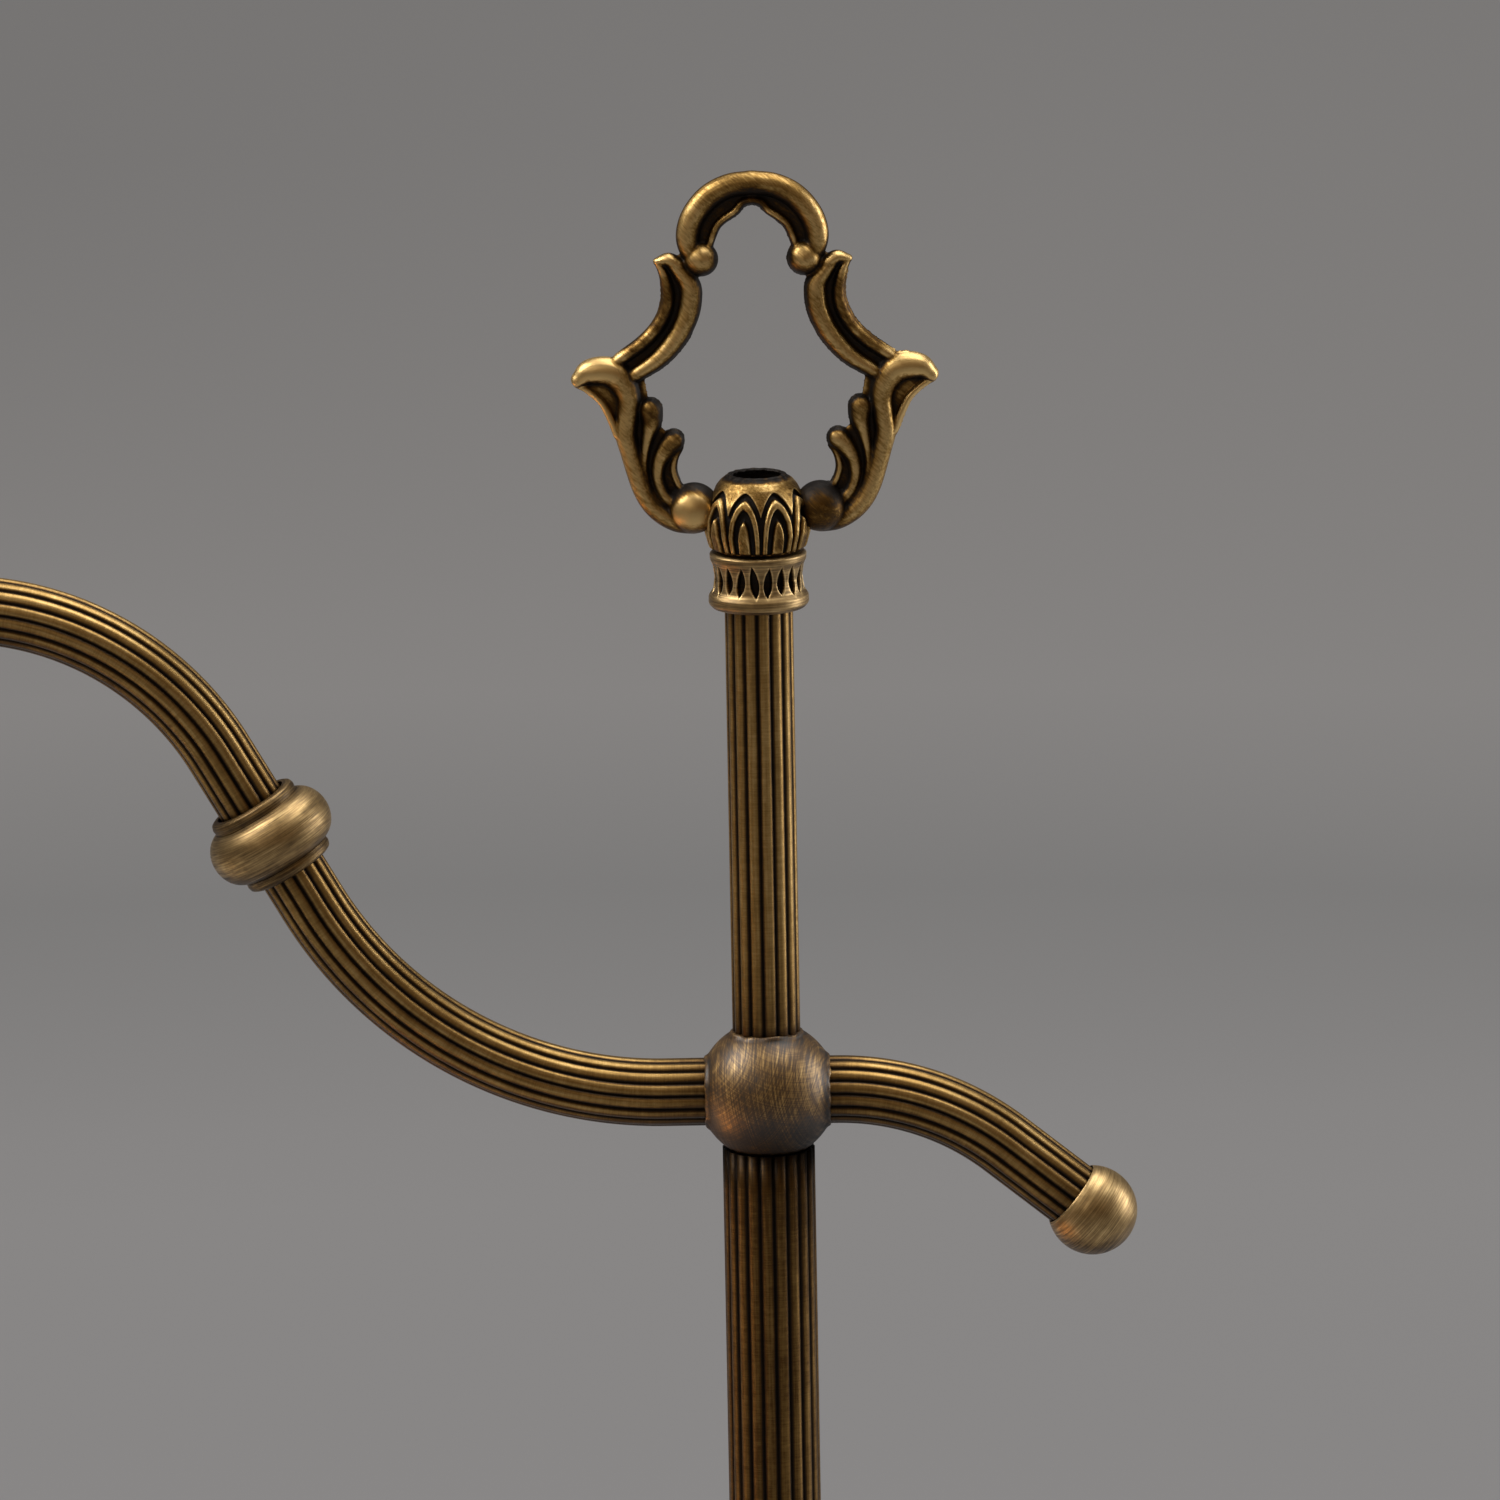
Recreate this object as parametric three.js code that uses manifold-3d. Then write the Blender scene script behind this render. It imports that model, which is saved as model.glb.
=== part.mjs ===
// A bridge-arm floor lamp in antique brass: a weighted round base, a reeded post in three screwed
// sections, and a reeded bridge that swivels on the post. The bridge is a ball hub with a long S-curved
// arm, a short counter-curved tail with a ball, and an upright tube with a carrying-loop finial.
// The arm's end carries a tilting lamp holder with an opal glass shade.
//
// Millimetres, +Z up. The origin is the middle of the base's underside, on the floor. The bridge lies
// in the XZ plane: the long arm runs to -X, the tail to +X.

import * as THREE from 'three';
import { mergeVertices } from 'three/addons/utils/BufferGeometryUtils.js';
import Module from 'manifold-3d';

const wasm = await Module();
wasm.setup();

// ---------------------------------------------------------------- driving dimensions

const GAP = 0.3;                    // clearance between pieces that touch

const HUB_HEIGHT = 1250;            // centre of the ball hub above the floor
const HUB_RADIUS = 19.5;
const HUB_FOOT = 15.7;              // depth of the flat under the ball
const TUBE_RADIUS = 9.5;            // reeded tubes of the bridge
const TUBE_BORE = 7.5;
const TUBE_REEDS = 15;
const POST_RADIUS = 12.9;
const POST_BORE = 11;
const POST_REEDS = 20;
const REED_DEPTH = 0.7;

const ARM_RUN_OUT = 28.4;           // level start of the long arm, from the hub's centre
const ARM_LOWER_RADIUS = 111.8;
const ARM_RISE = 60.2;              // degrees above level on the straight stretch
const ARM_STRAIGHT = 49.8;
const ARM_UPPER_RADIUS = 83.3;
const ARM_END_STRAIGHT = 9;
const ARM_COLLAR_ALONG = 22.4;      // the collar's middle, from the start of the straight stretch

const TAIL_RUN_OUT = 19.1;
const TAIL_RADIUS = 74.5;
const TAIL_DROP = 39;               // degrees below level at the tail's end
const TAIL_STRAIGHT = 31.2;
const TAIL_BALL_RADIUS = 12.5;

const TUBE_SEAT = 13;               // how far from the hub's centre its tubes start
const LEAD_RADIUS = 2;
const LEAD_BEND = 8;
const LEAD_JOINT = HUB_HEIGHT - 45.35; // where the post's lead meets the arm's, under the stem
const PIPE_RADIUS = 5;
const PIPE_BORE = 3.5;
const STEM_RADIUS = 6;
const STEM_TOP = -8;                // the stem's ends, from the hub's centre
const STEM_END = -44;
const LOCK_SHOULDER = -32;          // where the lock washer bears under the bush
const ROD_RADIUS = 3;               // threaded rod through the finial

const BASE_RADIUS = 135;
const WEIGHT_RADIUS = 128;
const PAD_THICKNESS = 2.5;
const NECK_TOP = 85;
const POST_START = 79.3;
const COUPLING_HEIGHTS = [469, 853]; // middles of the two post couplings
const COUPLING_RING = 13.4;          // length of a coupling's ring between two post sections
const POST_END = HUB_HEIGHT - HUB_FOOT - GAP;
const PIPE_START = 14;
const PIPE_END = HUB_HEIGHT - 53.5;

const FINIAL_DEPTH = 7;             // thickness of the carrying loop, front to back
const FINIAL_ROD = [6, 167];        // the rod's ends above the hub
const UPPER_TUBE_TOP = 150.5;
const BULB_FLOOR = 157.6;           // inside floor of the hollow bulb
const SHADE_RADIUS = 85;

const rad = THREE.MathUtils.degToRad;

// ---------------------------------------------------------------- materials

const material = (color, roughness, metalness) =>
  new THREE.MeshStandardMaterial({ color, roughness, metalness });

const BRASS = material(0x8b6a35, 0.38, 1);
const INNER_BRASS = material(0xb08d4a, 0.35, 1);
const IRON = material(0x2f2f31, 0.7, 1);
const STEEL = material(0x8f9296, 0.35, 1);
const RUBBER = material(0x1d1c1b, 0.9, 0);
const PHENOLIC = material(0x17130f, 0.5, 0);
const CARD = material(0x8c7350, 0.9, 0);
const OPAL = material(0xf3ead8, 0.25, 0);
const BULB = material(0xf6f1e4, 0.2, 0);
const LEAD = material(0x3a2a17, 0.9, 0);

// ---------------------------------------------------------------- shape helpers

// A solid of revolution about Z; the profile is [radius, z] pairs, wound with the outside going up.
function lathe(profile, segments = 16) {
  const points = profile.map(([r, z]) => new THREE.Vector2(r, z));
  return new THREE.LatheGeometry(points, segments).rotateX(Math.PI / 2);
}

// The same for a profile that closes on itself, which leaves a hole along the axis.
function ring(profile, segments) {
  return lathe([...profile, profile[0]], segments);
}

function sleeve(bore, radius, low, high, segments) {
  return ring([[bore, low], [radius, low], [radius, high], [bore, high]], segments);
}

function rod(radius, low, high, segments) {
  return lathe([[0, low], [radius, low], [radius, high], [0, high]], segments);
}

// Points of an arc in a profile, centred on [r, z], from one angle to another in degrees.
function arcPoints([r, z], [radiusR, radiusZ], from, to, steps) {
  const points = [];
  for (let i = 0; i <= steps; i++) {
    const angle = rad(from + (to - from) * i / steps);
    points.push([r + radiusR * Math.cos(angle), z + radiusZ * Math.sin(angle)]);
  }
  return points;
}

const alongY = (geometry) => geometry.rotateX(-Math.PI / 2);
const alongX = (geometry) => geometry.rotateY(Math.PI / 2);

function circle(radius, sides) {
  const points = [];
  for (let i = 0; i < sides; i++) {
    const angle = 2 * Math.PI * i / sides;
    points.push(new THREE.Vector2(radius * Math.cos(angle), radius * Math.sin(angle)));
  }
  return points;
}

// A round outline of convex reeds with narrow grooves between them.
function reededOutline(radius, reeds, depth, pointsPerReed) {
  return circle(1, reeds * pointsPerReed).map((point, i) => {
    const phase = (i % pointsPerReed) / pointsPerReed;
    return point.multiplyScalar(radius - depth * (1 - Math.sin(Math.PI * phase)));
  });
}

function reededShape(radius, reeds, pointsPerReed, bore, boreSides) {
  const shape = new THREE.Shape(reededOutline(radius, reeds, REED_DEPTH, pointsPerReed));
  shape.holes.push(new THREE.Path(circle(bore, boreSides)));
  return shape;
}

function extrudeUp(shape, low, high) {
  const depth = high - low;
  return new THREE.ExtrudeGeometry(shape, { depth, bevelEnabled: false }).translate(0, 0, low);
}

function sweep(shape, extrudePath, steps) {
  return new THREE.ExtrudeGeometry(shape, { extrudePath, steps, bevelEnabled: false });
}

function nut(acrossCorners, bore, low, high) {
  const shape = new THREE.Shape(circle(acrossCorners / 2, 6));
  shape.holes.push(new THREE.Path(circle(bore, 12)));
  return extrudeUp(shape, low, high);
}

// ---------------------------------------------------------------- joining and cutting

function toSolid(geometry) {
  const plain = geometry.index ? geometry.toNonIndexed() : geometry.clone();
  plain.deleteAttribute('normal');
  plain.deleteAttribute('uv');
  const merged = mergeVertices(plain, 1e-4);
  const triVerts = new Uint32Array(merged.index.array);
  const vertProperties = new Float32Array(merged.attributes.position.array);
  return new wasm.Manifold(new wasm.Mesh({ numProp: 3, vertProperties, triVerts }));
}

function toGeometry(solid) {
  const { vertProperties, triVerts } = solid.getMesh();
  const geometry = new THREE.BufferGeometry();
  geometry.setAttribute('position', new THREE.BufferAttribute(vertProperties, 3));
  geometry.setIndex(new THREE.BufferAttribute(triVerts, 1));
  return geometry;
}

const cut = (geometry, ...tools) =>
  toGeometry(tools.reduce((solid, tool) => solid.subtract(toSolid(tool)), toSolid(geometry)));

const join = (geometry, ...others) =>
  toGeometry(others.reduce((solid, other) => solid.add(toSolid(other)), toSolid(geometry)));

// ---------------------------------------------------------------- paths of the arms

const line = (length) => ({ length, turn: 0 });
const arc = (radius, degrees) => ({ length: radius * Math.abs(rad(degrees)), turn: rad(degrees) });
const lengthOf = (stretches) => stretches.reduce((sum, { length }) => sum + length, 0);

// A path in the XZ plane of straight and circular stretches; it runs from one distance to another.
class PlanarPath extends THREE.Curve {
  constructor(start, heading, stretches, from = 0, to = lengthOf(stretches)) {
    super();
    Object.assign(this, { start, heading, stretches, from, to });
  }

  slice(from, to) {
    return new PlanarPath(this.start, this.heading, this.stretches, from, to);
  }

  // Place and heading at a distance along the whole path.
  at(distance) {
    let [x, z] = this.start;
    let heading = rad(this.heading);
    let left = distance;
    for (const { length, turn } of this.stretches) {
      const used = Math.min(left, length);
      const next = heading + turn * used / length;
      const radius = length / turn;
      x += turn ? radius * (Math.sin(next) - Math.sin(heading)) : used * Math.cos(heading);
      z -= turn ? radius * (Math.cos(next) - Math.cos(heading)) : -used * Math.sin(heading);
      heading = next;
      left -= used;
    }
    return { x, z, heading };
  }

  getPoint(t, target = new THREE.Vector3()) {
    const { x, z } = this.at(this.from + t * (this.to - this.from));
    return target.set(x, 0, z);
  }

  // Turns and moves a geometry built along +Z so that it lies along the path at a distance.
  place(geometry, distance) {
    const { x, z, heading } = this.at(distance);
    return geometry.rotateY(Math.PI / 2 - heading).translate(x, 0, z);
  }
}

const armStretches = [
  line(ARM_RUN_OUT),
  arc(ARM_LOWER_RADIUS, -ARM_RISE),
  line(ARM_STRAIGHT),
  arc(ARM_UPPER_RADIUS, 90 + ARM_RISE),
  line(ARM_END_STRAIGHT),
];
const arm = new PlanarPath([0, HUB_HEIGHT], 180, armStretches);
const armEnd = arm.at(arm.to);
const collarAt = lengthOf(armStretches.slice(0, 2)) + ARM_COLLAR_ALONG;

const tailStretches = [line(TAIL_RUN_OUT), arc(TAIL_RADIUS, -TAIL_DROP), line(TAIL_STRAIGHT)];
const tail = new PlanarPath([0, HUB_HEIGHT], 0, tailStretches);

const lamp = new THREE.Group();

function add(parent, name, geometry, finish) {
  const mesh = new THREE.Mesh(geometry, finish);
  mesh.name = name;
  parent.add(mesh);
}

// ---------------------------------------------------------------- base

// Cast-iron disc with a recess and a lead channel underneath.
function baseWeight() {
  const bottom = PAD_THICKNESS + GAP;
  const recess = 22;
  const profile = [
    [recess, bottom], [WEIGHT_RADIUS, bottom], [WEIGHT_RADIUS, 10.5], [112, 15.5], [60, 24.5], [40, 27],
    [34, 27.5], [34, 38.2], [PIPE_RADIUS + GAP, 38.2], [PIPE_RADIUS + GAP, recess], [recess, recess],
  ];
  const channel = new THREE.BoxGeometry(8, WEIGHT_RADIUS, 8).translate(0, 15 + WEIGHT_RADIUS / 2, bottom + 3);
  return cut(ring(profile, 28), channel);
}

// Spun brass cover: a rolled rim, a stepped shoulder and a low dome.
function baseCover() {
  const outer = [
    [BASE_RADIUS - 1.5, 3.2], [BASE_RADIUS, 3.6], [BASE_RADIUS, 11], [132.5, 14.4], [125, 15.4],
    [118, 20.5], [90, 27], [62, 31], [56, 35.4], [42, 40],
  ];
  const inner = [
    [42, 38.5], [55, 34], [61, 29.5], [90, 25.4], [117, 19], [124.4, 13.9], [131.5, 13],
    [BASE_RADIUS - 1.5, 10.6],
  ];
  const hole = PIPE_RADIUS + GAP;
  const shell = ring([...outer, [hole, 40], [hole, 38.5], ...inner], 28);
  const glandHole = alongY(rod(4.3, BASE_RADIUS - 10, BASE_RADIUS + 10, 16)).translate(0, 0, 7);
  return cut(shell, glandHole);
}

function baseNeck() {
  const hole = PIPE_RADIUS + GAP;
  return ring([
    [hole, 40.3], [36, 40.3], [36.6, 44], [28, 49], [21.5, 55], [18.5, 63], [22.5, 67],
    [22.5, 71], [15.8, 77], [17.4, 81], [17.4, NECK_TOP],
    [POST_RADIUS + GAP, NECK_TOP], [POST_RADIUS + GAP, POST_START - GAP], [hole, POST_START - GAP],
  ], 20);
}

function cordGland() {
  const bush = ring([[2.6, -6], [4, -6], [4, GAP], [6, GAP], [6, 3], [4.6, 5], [2.6, 5]], 16);
  return alongY(bush).translate(0, BASE_RADIUS, 7);
}

function buildBase() {
  const bore = PIPE_RADIUS + GAP;
  add(lamp, 'floor_pad', rod(WEIGHT_RADIUS + 3, 0, PAD_THICKNESS, 40), RUBBER);
  add(lamp, 'base_weight', baseWeight(), IRON);
  add(lamp, 'base_cover', baseCover(), BRASS);
  add(lamp, 'base_neck', baseNeck(), BRASS);
  add(lamp, 'base_washer', sleeve(bore, 14, 20, 21.7, 20), STEEL);
  add(lamp, 'base_nut', nut(18, bore, PIPE_START + 0.6, 19.7), STEEL);
  add(lamp, 'cord_gland', cordGland(), PHENOLIC);
}

// ---------------------------------------------------------------- post

function postSection(low, high) {
  return extrudeUp(reededShape(POST_RADIUS, POST_REEDS, 4, POST_BORE, 20), low, high);
}

// A turned ring between two sections, with a spigot into each.
function postCoupling(middle) {
  const spigot = POST_BORE - GAP;
  const half = COUPLING_RING / 2;
  const bore = PIPE_RADIUS + GAP;
  const profile = [
    [bore, -18], [spigot, -18], [spigot, -half], [14, -half], [14, -4.4],
    [15.4, -2], [15.4, 2], [14, 4.4], [14, half], [spigot, half], [spigot, 18], [bore, 18],
  ];
  return ring(profile, 18).translate(0, 0, middle);
}

// Bush soldered in the post's top: the stem turns in it, and its lower chamber holds the lock nut.
function swivelBush() {
  const outer = POST_BORE - GAP;
  const bore = STEM_RADIUS + GAP;
  const chamber = 9.3;
  const low = HUB_HEIGHT - 51;
  const shoulder = HUB_HEIGHT + LOCK_SHOULDER;
  const top = HUB_HEIGHT - HUB_FOOT - 2.1;
  return ring([
    [chamber, low], [outer, low], [outer, top], [bore, top], [bore, shoulder], [chamber, shoulder],
  ]);
}

// A lead along a path: each stretch has steps of its own and laps the next one a little.
function leadAlong(path, stepsOfStretches) {
  const section = new THREE.Shape(circle(LEAD_RADIUS, 6));
  const lap = 0.5;
  let from = 0;
  const runs = path.stretches.map(({ length }, i) => {
    const to = Math.min(from + length + lap, path.to);
    const run = sweep(section, path.slice(from, to), stepsOfStretches[i]);
    from += length;
    return run;
  });
  return join(...runs);
}

// The lead runs from the gland through the weight's channel, turns up, and stays in the pipe.
function postLead() {
  const floor = 5.8;
  const back = BASE_RADIUS - 8;
  const rise = LEAD_JOINT - GAP / 2 - floor - LEAD_BEND;
  const path = new PlanarPath([-back, floor], 0, [line(back - LEAD_BEND), arc(LEAD_BEND, 90), line(rise)]);
  return leadAlong(path, [1, 4, 1]).rotateZ(-Math.PI / 2);
}

function buildPost() {
  const [lower, upper] = COUPLING_HEIGHTS;
  const seat = COUPLING_RING / 2 + GAP;
  add(lamp, 'lamp_pipe', sleeve(PIPE_BORE, PIPE_RADIUS, PIPE_START, PIPE_END, 16), STEEL);
  add(lamp, 'post_lower', postSection(POST_START, lower - seat), BRASS);
  add(lamp, 'post_coupling_lower', postCoupling(lower), BRASS);
  add(lamp, 'post_middle', postSection(lower + seat, upper - seat), BRASS);
  add(lamp, 'post_coupling_upper', postCoupling(upper), BRASS);
  add(lamp, 'post_upper', postSection(upper + seat, POST_END), BRASS);
  add(lamp, 'pipe_plug', sleeve(PIPE_RADIUS + GAP, POST_BORE - GAP, PIPE_END - 12, PIPE_END + 0.5), STEEL);
  add(lamp, 'swivel_bush', swivelBush(), INNER_BRASS);
  const washerTop = HUB_HEIGHT - HUB_FOOT - GAP;
  const washer = sleeve(STEM_RADIUS + 2 * GAP, POST_BORE - 0.5, washerTop - 1.5, washerTop);
  add(lamp, 'swivel_washer', washer, CARD);
  add(lamp, 'post_lead', postLead(), LEAD);
}

// ---------------------------------------------------------------- swivel and hub

// Ball hub: three tube sockets, a threaded seat for the stem, one for the finial rod, and a wire way.
function hubBall() {
  const tubeSocket = () => rod(TUBE_RADIUS + GAP, TUBE_SEAT - GAP, HUB_RADIUS + 2, 20);
  const flatFoot = rod(HUB_RADIUS, -HUB_RADIUS - 2, -HUB_FOOT, 16);
  const stemSeat = rod(STEM_RADIUS + GAP, -HUB_FOOT - 1, STEM_TOP + GAP, 20);
  const wireWay = 5;
  const wireWayDown = rod(wireWay, -12, 2, 16);
  const wireWayLeft = alongX(rod(wireWay, -15, 2, 16));
  const rodSeat = rod(ROD_RADIUS + GAP, FINIAL_ROD[0] - GAP, 15, 12);
  return cut(
    new THREE.SphereGeometry(HUB_RADIUS, 24, 16),
    tubeSocket(),
    alongX(tubeSocket()),
    alongX(tubeSocket()).rotateZ(Math.PI),
    flatFoot,
    stemSeat,
    wireWayDown,
    wireWayLeft,
    rodSeat,
  ).translate(0, 0, HUB_HEIGHT);
}

function buildHub() {
  const bore = STEM_RADIUS + GAP;
  const stemEnd = HUB_HEIGHT + STEM_END;
  const washerTop = HUB_HEIGHT + LOCK_SHOULDER - GAP;
  const washerLow = washerTop - 1.5;
  add(lamp, 'hub_ball', hubBall(), BRASS);
  add(lamp, 'swivel_stem', sleeve(PIPE_BORE, STEM_RADIUS, stemEnd, HUB_HEIGHT + STEM_TOP, 20), STEEL);
  add(lamp, 'swivel_lock_washer', sleeve(bore, 8.8, washerLow, washerTop, 20), STEEL);
  add(lamp, 'swivel_nut', nut(17, bore, stemEnd + 3, washerLow - GAP), STEEL);
}

// ---------------------------------------------------------------- long arm and tail

const armSection = () => reededShape(TUBE_RADIUS, TUBE_REEDS, 2, TUBE_BORE, 8);

// Thick half-round ring with a thin lip at each end, loose on the tube.
function armCollar() {
  const bore = TUBE_RADIUS + 1.2;
  const belly = arcPoints([11, 0], [7.1, 8.2], -72, 72, 6);
  const lip = [[13.2, 8.3], [13.2, 10.3], [12.2, 11.1], [bore, 11.1]];
  const lowerLip = lip.map(([r, z]) => [r, -z]).reverse();
  return ring([...lowerLip, ...belly, ...lip], 22);
}

// Cap ball with a flat mouth that the tail's tube enters.
function tailBall() {
  const mouth = -7.6;
  const ball = arcPoints([0, 0], [TAIL_BALL_RADIUS, TAIL_BALL_RADIUS], -37.5, 90, 9);
  return lathe([[0, GAP], [TUBE_RADIUS + GAP, GAP], [TUBE_RADIUS + GAP, mouth], ...ball]);
}

// The lead rises out of the stem, bends into the arm and follows its middle to the knuckle.
function armLead() {
  const start = LEAD_JOINT + GAP / 2;
  const rise = HUB_HEIGHT - LEAD_BEND - start;
  const [runOut, ...rest] = armStretches;
  const stretches = [line(rise), arc(LEAD_BEND, 90), line(runOut.length - LEAD_BEND), ...rest, line(8.4)];
  return leadAlong(new PlanarPath([0, start], 90, stretches), [1, 4, 1, 7, 1, 12, 1, 1]);
}

function buildArms() {
  add(lamp, 'arm_tube_inner', sweep(armSection(), arm.slice(TUBE_SEAT, collarAt - GAP / 2), 10), BRASS);
  add(lamp, 'arm_tube_outer', sweep(armSection(), arm.slice(collarAt + GAP / 2, arm.to), 16), BRASS);
  const spigotHalf = 14;
  const spigot = sleeve(4.5, TUBE_BORE - 3 * GAP, -spigotHalf, spigotHalf, 16);
  add(lamp, 'arm_joint_spigot', arm.place(spigot, collarAt), INNER_BRASS);
  add(lamp, 'arm_collar', arm.place(armCollar(), collarAt), BRASS);
  add(lamp, 'arm_lead', armLead(), LEAD);
  add(lamp, 'tail_tube', sweep(armSection(), tail.slice(TUBE_SEAT, tail.to), 6), BRASS);
  add(lamp, 'tail_ball', tail.place(tailBall(), tail.to), BRASS);
}

// ---------------------------------------------------------------- upright tube and finial

// Fluted collar: a rolled foot, a waist with a row of slots, and a rounded top rim.
function finialCollar() {
  const bore = TUBE_RADIUS + GAP;
  const rodBore = ROD_RADIUS + GAP;
  const body = ring([
    [bore, 138.2], [12.9, 138.2], [13.9, 139.6], [13.7, 141.6], [12.6, 143.4], [12.1, 146.8], [12.6, 150.2],
    [13.3, 151.9], [13.3, 153.2], [12.8, 153.8], [rodBore, 153.8], [rodBore, 150.9], [bore, 150.9],
  ], 20);
  const slots = [];
  const slotCount = 20;
  for (let i = 0; i < slotCount; i++) {
    const slot = new THREE.CylinderGeometry(0.95, 0.95, 3, 4).rotateZ(Math.PI / 2).scale(1, 1, 4.2);
    slots.push(slot.translate(12.4, 0, 147).rotateZ(2 * Math.PI * (i + 0.5) / slotCount));
  }
  return cut(body, ...slots);
}

const bulbOutside = (grow) => [
  [11.6 + grow, 154.1 - grow], [13.6 + grow, 156.4], [14.3 + grow, 160.5],
  [14 + grow, 165], [12.3 + grow, 170.4], [8.4 + grow, 175.3 + grow],
];

// Hollow bulb with an open top.
function finialBulb() {
  const rodBore = ROD_RADIUS + GAP;
  const inside = [[7.5, 175.3], [7.5, 173.2], [10.4, 168.5], [11.4, 162], [10.8, BULB_FLOOR]];
  return ring([...bulbOutside(0), ...inside, [rodBore, BULB_FLOOR], [rodBore, 154.1]], 24);
}

// Left half of the carrying loop as smooth stretches between its corners, [x, z above the hub]:
// outside from the bulb to the top, then inside from the top to the bulb.
const LOOP_OUTSIDE = [
  [[-9.9, 159.8], [-22, 159.8], [-27.7, 163.1], [-32.5, 169.2], [-36.9, 182.7], [-42.7, 195.5], [-50, 200]],
  [[-50, 200], [-51.1, 202.3], [-48.6, 207], [-44, 209.5], [-38.9, 208.8]],
  [[-38.9, 208.8], [-32.4, 212.8], [-27.7, 219], [-25.2, 227.8], [-27.3, 235.1]],
  [[-27.3, 235.1], [-24.3, 237.6], [-21, 238.5]],
  [[-21, 238.5], [-18.6, 246.9], [-13.5, 254], [-6.9, 258.5], [0, 260.1]],
];
const LOOP_INSIDE = [
  [[0, 250.8], [-5.4, 248], [-9.3, 244], [-10.5, 239.6]],
  [[-10.5, 239.6], [-9.5, 235.4], [-13.7, 231.3]],
  [[-13.7, 231.3], [-14.5, 222.9], [-17.8, 215.1], [-22.8, 208.2], [-29.2, 203.4]],
  [[-29.2, 203.4], [-28.5, 199.6], [-25.5, 197.2], [-25.1, 192.2], [-24.7, 188.5]],
  [[-24.7, 188.5], [-21.3, 188.3], [-19.6, 184.3]],
  [[-19.6, 184.3], [-22.5, 178.5], [-20.6, 172.2]],
  [[-20.6, 172.2], [-15.9, 172.8], [-9.9, 169.7]],
];
const BIG_BEAD = [17.4, 166.1, 7.2];    // x, z above the hub, radius
const SMALL_BEAD = [14.1, 235.6, 4.6];

function loopOutline() {
  const left = [...LOOP_OUTSIDE, ...LOOP_INSIDE];
  const right = left.map((stretch) => stretch.map(([x, z]) => [-x, z]).reverse()).reverse();
  const outside = LOOP_OUTSIDE.length;
  const inside = LOOP_INSIDE.length;
  const around = [...left.slice(0, outside), ...right.slice(inside)];
  const opening = [...right.slice(0, inside), ...left.slice(outside)];
  const shape = new THREE.Shape();
  shape.moveTo(...around[0][0]);
  for (const stretch of [...around, ...opening]) {
    const [first, ...rest] = stretch.map(([x, z]) => new THREE.Vector2(x, z));
    if (shape.currentPoint.distanceTo(first) > GAP) {
      shape.lineTo(first.x, first.y);
    }
    shape.splineThru(rest);
  }
  return shape;
}

// One casting: a pierced plate with rounded edges and two pairs of beads, cut to sit on the bulb.
function finialLoop() {
  const bevel = 1.2;
  const depth = FINIAL_DEPTH - 2 * bevel;
  const edges = { bevelThickness: bevel, bevelSize: bevel, bevelOffset: -bevel, bevelSegments: 1 };
  const plate = new THREE.ExtrudeGeometry(loopOutline(), { depth, ...edges, curveSegments: 1 });
  plate.translate(0, 0, bevel - FINIAL_DEPTH / 2).rotateX(Math.PI / 2);
  const beads = [];
  for (const [x, z, radius] of [BIG_BEAD, SMALL_BEAD]) {
    for (const side of [-1, 1]) {
      beads.push(new THREE.SphereGeometry(radius, 10, 6).translate(side * x, 0, z));
    }
  }
  const seat = lathe([[0, 150], [11.6 + GAP, 150], ...bulbOutside(GAP + 0.1), [0, 177]], 24);
  return cut(join(plate, ...beads), seat);
}

function buildFinial() {
  const upright = new THREE.Group();
  upright.position.z = HUB_HEIGHT;
  lamp.add(upright);
  const tube = extrudeUp(reededShape(TUBE_RADIUS, TUBE_REEDS, 4, TUBE_BORE, 16), TUBE_SEAT, UPPER_TUBE_TOP);
  add(upright, 'upper_tube', tube, BRASS);
  add(upright, 'finial_rod', rod(ROD_RADIUS, ...FINIAL_ROD, 12), STEEL);
  add(upright, 'finial_collar', finialCollar(), BRASS);
  add(upright, 'finial_bulb', finialBulb(), BRASS);
  add(upright, 'finial_loop', finialLoop(), BRASS);
  const washerLow = BULB_FLOOR + GAP;
  const washerTop = washerLow + 1.1;
  add(upright, 'finial_washer', sleeve(ROD_RADIUS + GAP, 6.8, washerLow, washerTop, 16), STEEL);
  add(upright, 'finial_nut', nut(11, ROD_RADIUS + GAP, washerTop + GAP, washerTop + 4.6), STEEL);
}

// ---------------------------------------------------------------- knuckle at the arm's end

const PIVOT = -17;                  // tilt axis, below the end of the arm's tube
const CHEEK_RADIUS = 8;
const SLOT_WIDTH = 5.6;
const PIN_RADIUS = 2.5;

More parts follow.
